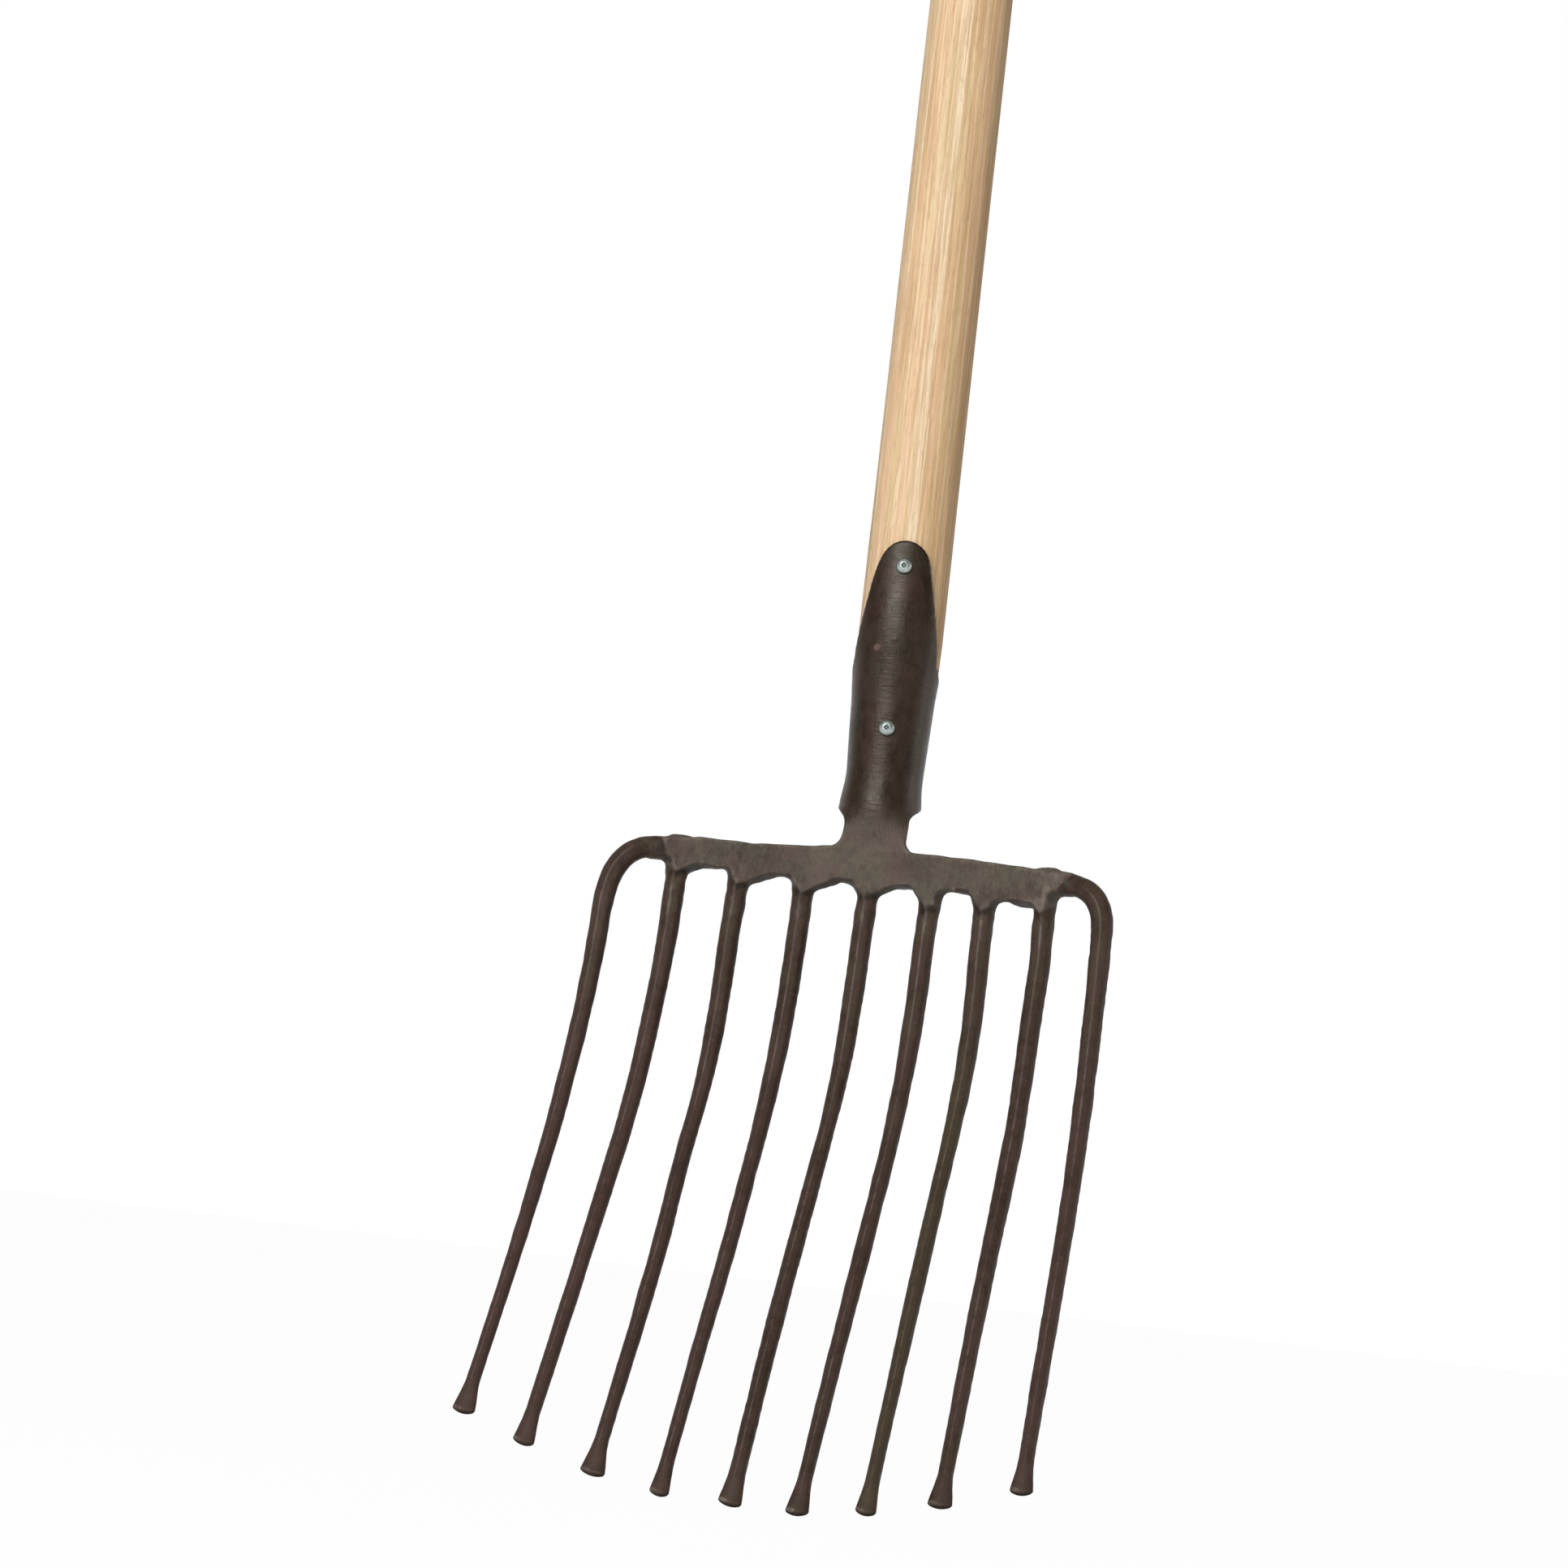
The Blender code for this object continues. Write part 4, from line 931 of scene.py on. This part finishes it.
def ash_material():
    """Straight-grained ash: growth rings cut lengthwise, pale sapwood beside darker heartwood, fine streaks,
    pores in dashes, and faint warm and greenish bands. The sapwood and heartwood bands lie across the
    camera's view, so they are partly the ash's own and partly painted light: the pale band down the lit front
    and the dark band down the shaded right side."""
    material, tree, shader = new_material("turned_ash", 0.45, 0.0, 0.10)
    place = add_node(tree, "ShaderNodeTexCoord").outputs["Object"]
    centred = add_node(tree, "ShaderNodeMapping", {},
                       {"Vector": place, "Location": (-mark[0], -mark[1], -mark[2])}).outputs[0]
    drawn = stretch_node(tree, centred, (1.0, 1.0, 0.035))
    parts = add_node(tree, "ShaderNodeSeparateXYZ", {}, {0: drawn}).outputs
    wobble = noise_node(tree, drawn, 55.0, 3.0, 0.5)
    # Across the camera's view, which puts the pale sapwood down the lit front as a painted highlight and the
    # heartwood down the right as painted shade.
    board = sum_node(tree, (parts[0], 978.0), (parts[1], 208.0), (wobble, 9.0))
    board = math_node(tree, "SUBTRACT", board, 0.5)
    sap_and_painted_light = math_node(tree, "MULTIPLY", range_node(tree, board, -3.0, 2.0), range_node(tree, board, 7.5, 5.0))
    heart_and_painted_shade = range_node(tree, board, 5.0, 8.5)
    ring = math_node(tree, "FRACT", math_node(tree, "MULTIPLY", board, 0.27))
    late = math_node(tree, "MULTIPLY", range_node(tree, ring, 0.0, 0.6), range_node(tree, ring, 1.0, 0.85))
    thread = stretch_node(tree, centred, (1.0, 1.0, 0.022))
    streak = noise_node(tree, thread, 620.0, 2.0, 0.5)
    fine = noise_node(tree, thread, 1500.0, 2.0, 0.6)
    dash = stretch_node(tree, centred, (1.0, 1.0, 0.09))
    pores = range_node(tree, noise_node(tree, dash, 1900.0, 1.0, 0.5), 0.56, 0.68)
    colour = mix_node(tree, late, (0.79, 0.60, 0.40, 1), (0.70, 0.50, 0.31, 1))
    colour = mix_node(tree, sap_and_painted_light, colour, (0.83, 0.66, 0.47, 1))
    heart_rings_and_painted_shade = mix_node(tree, late, (0.76, 0.54, 0.32, 1), (0.63, 0.42, 0.23, 1))
    colour = mix_node(tree, heart_and_painted_shade, colour, heart_rings_and_painted_shade)
    colour = tint_node(tree, colour, (0.52, 0.34, 0.18, 1), streak, 0.46, 0.66, 0.60)
    colour = tint_node(tree, colour, (0.86, 0.70, 0.50, 1), streak, 0.50, 0.36, 0.30)
    colour = tint_node(tree, colour, (0.48, 0.31, 0.17, 1), fine, 0.44, 0.64, 0.50)
    colour = mix_node(tree, math_node(tree, "MULTIPLY", pores, 0.30), colour, (0.36, 0.22, 0.12, 1))
    tinge = noise_node(tree, drawn, 230.0, 2.0, 0.5)
    colour = tint_node(tree, colour, (0.78, 0.47, 0.31, 1), tinge, 0.52, 0.66, 0.30)
    colour = tint_node(tree, colour, (0.62, 0.50, 0.25, 1), tinge, 0.48, 0.34, 0.25)
    height = sum_node(tree, (fine, 0.4), (pores, -1.0))
    dress(tree, shader, colour, range_node(tree, fine, 0.3, 0.7, 0.46, 0.62), height, 0.35, 0.0002)
    return material


# The shaft is round but for faint sanded hollows. Past the plate's edge beside the mouth, its
# shoulder is left nearly full.
heights, radii = (values[:, None] for values in handle_profile())
around = ring_angles(HANDLE_SIDES)
hollow = 0.05 * swell(heights, 12.0 * np.cos(around), 12.0 * np.sin(around), 90.0, 77) - 0.06
reach = radii + np.where(heights > 150.0, np.minimum(hollow, 0.0), 0.0)
past_plate = plate_places(reach * np.cos(around) - sway(heights), reach * np.sin(around), heights)[1]
left_full = (LEFT_FULL_RADIUS - radii) * ease((past_plate - 0.2) / 1.5) * ease((heights - 65.0) / 4.0)
reach += np.maximum(left_full, 0.0) * (heights < 100.0)
shaft = np.stack([reach * np.cos(around) - sway(heights), reach * np.sin(around),
                  np.broadcast_to(heights, reach.shape)], axis=-1)
points, faces = close_tube(shaft)
make_piece("ash_shaft", points, faces, ash_material(), "handle")


# Screws: two zinc-plated wood screws with round heads and a small cross recess. They stand on
# the middle of the strap and of the socket, and hold the plate to the ash.

SCREW_SIDES = 72
HEAD_RADIUS = 3.6
HEAD_HEIGHT = 2.6
HEAD_UNDERSIDE = 3.5
SHANK_RADIUS = 1.95
SHANK_DEPTH = 6.0
CROSS_REACH = 1.05
CROSS_HALF_WIDTH = 0.42
CROSS_DEPTH = 0.9
SCREWS = (("strap_screw", 127.5), ("socket_screw", 54.8))


def screw_surface(height):
    """A dome, which is a quarter of an oval turned round, pressed in by a cross where either arm is near, on
    a shank in the plate's hole. The recess and the rim are marked for painted shade."""
    rise = np.radians(np.linspace(90.0, 0.0, 40))[1:]
    out = np.append(HEAD_RADIUS * np.cos(rise), [HEAD_UNDERSIDE] + 3 * [SHANK_RADIUS])[:, None]
    up = np.append(HEAD_HEIGHT * np.sin(rise), [-0.02, -0.02, -2.0, -SHANK_DEPTH])[:, None]
    turn = ring_angles(SCREW_SIDES)
    x, y = out * np.cos(turn), out * np.sin(turn)
    flat_arm = np.maximum(np.abs(x) - CROSS_REACH, np.abs(y) - CROSS_HALF_WIDTH)
    upright_arm = np.maximum(np.abs(y) - CROSS_REACH, np.abs(x) - CROSS_HALF_WIDTH)
    pressed = ease((0.25 - np.minimum(flat_arm, upright_arm)) / 0.5) * (up > 0.5)
    away = wood_radius(height) + PLATE_OUTSIDE + CLEARANCE + (up - CROSS_DEPTH * pressed)
    facing_x, facing_y = math.sin(PLATE_TURN), -math.cos(PLATE_TURN)
    rings = np.stack([away * facing_x - x * facing_y, away * facing_y + x * facing_x, height + y], axis=-1)
    return rings, np.maximum(pressed, 0.75 * ease((out - 2.95) / 0.45))


def zinc_material():
    """Bright zinc with its bluish passivation, a fine grain, and painted shade in the recess and on the rim.
    """
    material, tree, shader = new_material("bright_zinc", 0.42, 0.85, 0.5)
    place = add_node(tree, "ShaderNodeTexCoord").outputs["Object"]
    grain = noise_node(tree, place, 1500.0, 4.0, 0.6)
    broad = noise_node(tree, place, 300.0, 2.0, 0.5)
    colour = mix_node(tree, range_node(tree, grain, 0.35, 0.65), (0.36, 0.42, 0.41, 1), (0.50, 0.56, 0.54, 1))
    colour = tint_node(tree, colour, (0.33, 0.38, 0.40, 1), broad, 0.5, 0.7, 0.3)
    # Painted shade in the cross recess and round the rim of the dome.
    shade = math_node(tree, "MULTIPLY", mask_node(tree, "recess"), 0.85)
    colour = mix_node(tree, shade, colour, (0.04, 0.05, 0.05, 1))
    dress(tree, shader, colour, range_node(tree, grain, 0.3, 0.7, 0.38, 0.50), grain, 0.3, 0.0001)
    return material


zinc = zinc_material()
for name, height in SCREWS:
    rings, recess = screw_surface(height)
    points, faces = close_tube(rings[::-1])
    screw = make_piece(f"round_head_{name}", points, faces, zinc, name)
    store_ring_mask(screw, "recess", recess[::-1])


# Studio: a white floor under the tine tips and a white backdrop behind, which take the fork's
# shadow, a large soft lamp at the front left, a weaker one at the right, and a dim pale room.

# Sizes and places are in metres from here on
PAPER_SIDE = 16
PAPER_FRONT = -3
PAPER_BACK = 4
PAPER_TOP = 6


def white_paper(name, shown):
    """Matt white paper. What the camera sees of it is mostly its own white, and a little shadow."""
    material, tree, shader = new_material(name, 0.9, 0.0, 0.2)
    shader.inputs["Base Color"].default_value = (0.85, 0.85, 0.85, 1)
    path = add_node(tree, "ShaderNodeLightPath").outputs
    seen = math_node(tree, "MAXIMUM", path["Is Camera Ray"],
                     math_node(tree, "MAXIMUM", path["Is Glossy Ray"], path["Is Transmission Ray"]))
    glow = add_node(tree, "ShaderNodeEmission", {}, {"Color": (1, 1, 1, 1), "Strength": 1.0})
    blend = add_node(tree, "ShaderNodeMixShader", {}, {0: math_node(tree, "MULTIPLY", seen, shown),
                                                       1: shader.outputs[0], 2: glow.outputs[0]})
    tree.links.new(blend.outputs[0], tree.nodes["Material Output"].inputs["Surface"])
    return material


def paper_sheet(name, corners, material):
    """One flat sheet on the stage, from its four corners in metres."""
    mesh = bpy.data.meshes.new(name)
    mesh.from_pydata(corners, [], [(0, 1, 2, 3)])
    mesh.materials.append(material)
    new_object(name, mesh)


fold_left, fold_right = (-PAPER_SIDE, PAPER_BACK, 0), (PAPER_SIDE, PAPER_BACK, 0)
front_left, front_right = (-PAPER_SIDE, PAPER_FRONT, 0), (PAPER_SIDE, PAPER_FRONT, 0)
top_left, top_right = (-PAPER_SIDE, PAPER_BACK, PAPER_TOP), (PAPER_SIDE, PAPER_BACK, PAPER_TOP)
paper_sheet("floor", [front_left, front_right, fold_right, fold_left], white_paper("floor_paper", 0.97))
paper_sheet("backdrop", [fold_left, fold_right, top_right, top_left], white_paper("backdrop_paper", 1.0))


def stand(thing, right, up, back, place):
    """Put a lamp or a camera at a place, with its three axes along the given directions."""
    thing.matrix_world = Matrix(([*right, 0], [*up, 0], [*back, 0], [*place, 1])).transposed()


def soft_lamp(name, place, aim, size, power, colour):
    """A rectangular lamp at a place, which shines on its aim and keeps its lower edge level."""
    data = bpy.data.lights.new(name, "AREA")
    data.shape = "RECTANGLE"
    data.size, data.size_y = size
    data.energy = power
    data.color = colour
    away = np.array(place) - np.array(aim)
    away /= np.linalg.norm(away)
    side = np.cross([0.0, 0.0, 1.0], away)
    side /= np.linalg.norm(side)
    stand(new_object(name, data), side, np.cross(away, side), away, place)


soft_lamp("key", (-0.47, -1.92, 1.15), (0.0, 0.0, 0.3), (1.2, 1.1), 43.5, (1.0, 0.98, 0.94))
soft_lamp("fill", (2.2, 0.5, 0.9), (0.0, 0.0, 0.25), (0.8, 1.2), 6.5, (1.0, 0.97, 0.92))
world = bpy.data.worlds.new("room")
world.use_nodes = True
room = world.node_tree.nodes["Background"]
room.inputs["Color"].default_value = (1.0, 0.99, 0.98, 1)
room.inputs["Strength"].default_value = 0.17
bpy.context.scene.world = world
bpy.context.scene.view_settings.view_transform = "Standard"


# Camera: where the photograph was taken from, found from the shaft's edges, the bar's top edge
# and the tines' centre lines. It looks up at the fork by 8 degrees from 1.4 m away.

CAMERA_TURN = math.radians(12.0)
CAMERA_RISE = math.radians(-7.84)
CAMERA_ROLL = math.radians(6.60)
CAMERA_AIM = np.array([-0.04556, 0.0, 0.02855])
CAMERA_DISTANCE = 1.4
SENSOR_WIDTH = 36.0
PHOTO_WIDTH = 1932
FOCAL_PIXELS = 3836.7

back = np.array([math.sin(CAMERA_TURN) * math.cos(CAMERA_RISE),
                 -math.cos(CAMERA_TURN) * math.cos(CAMERA_RISE), math.sin(CAMERA_RISE)])
level_right = np.array([math.cos(CAMERA_TURN), math.sin(CAMERA_TURN), 0.0])
level_up = np.cross(back, level_right)
right = math.cos(CAMERA_ROLL) * level_right + math.sin(CAMERA_ROLL) * level_up
up = -math.sin(CAMERA_ROLL) * level_right + math.cos(CAMERA_ROLL) * level_up
place = mark + CAMERA_AIM + back * CAMERA_DISTANCE
camera_data = bpy.data.cameras.new("camera")
camera_data.sensor_width = SENSOR_WIDTH
camera_data.lens = FOCAL_PIXELS * SENSOR_WIDTH / PHOTO_WIDTH
camera_data.clip_start = 0.01
camera = new_object("camera", camera_data)
stand(camera, right, up, back, place)
bpy.context.scene.camera = camera
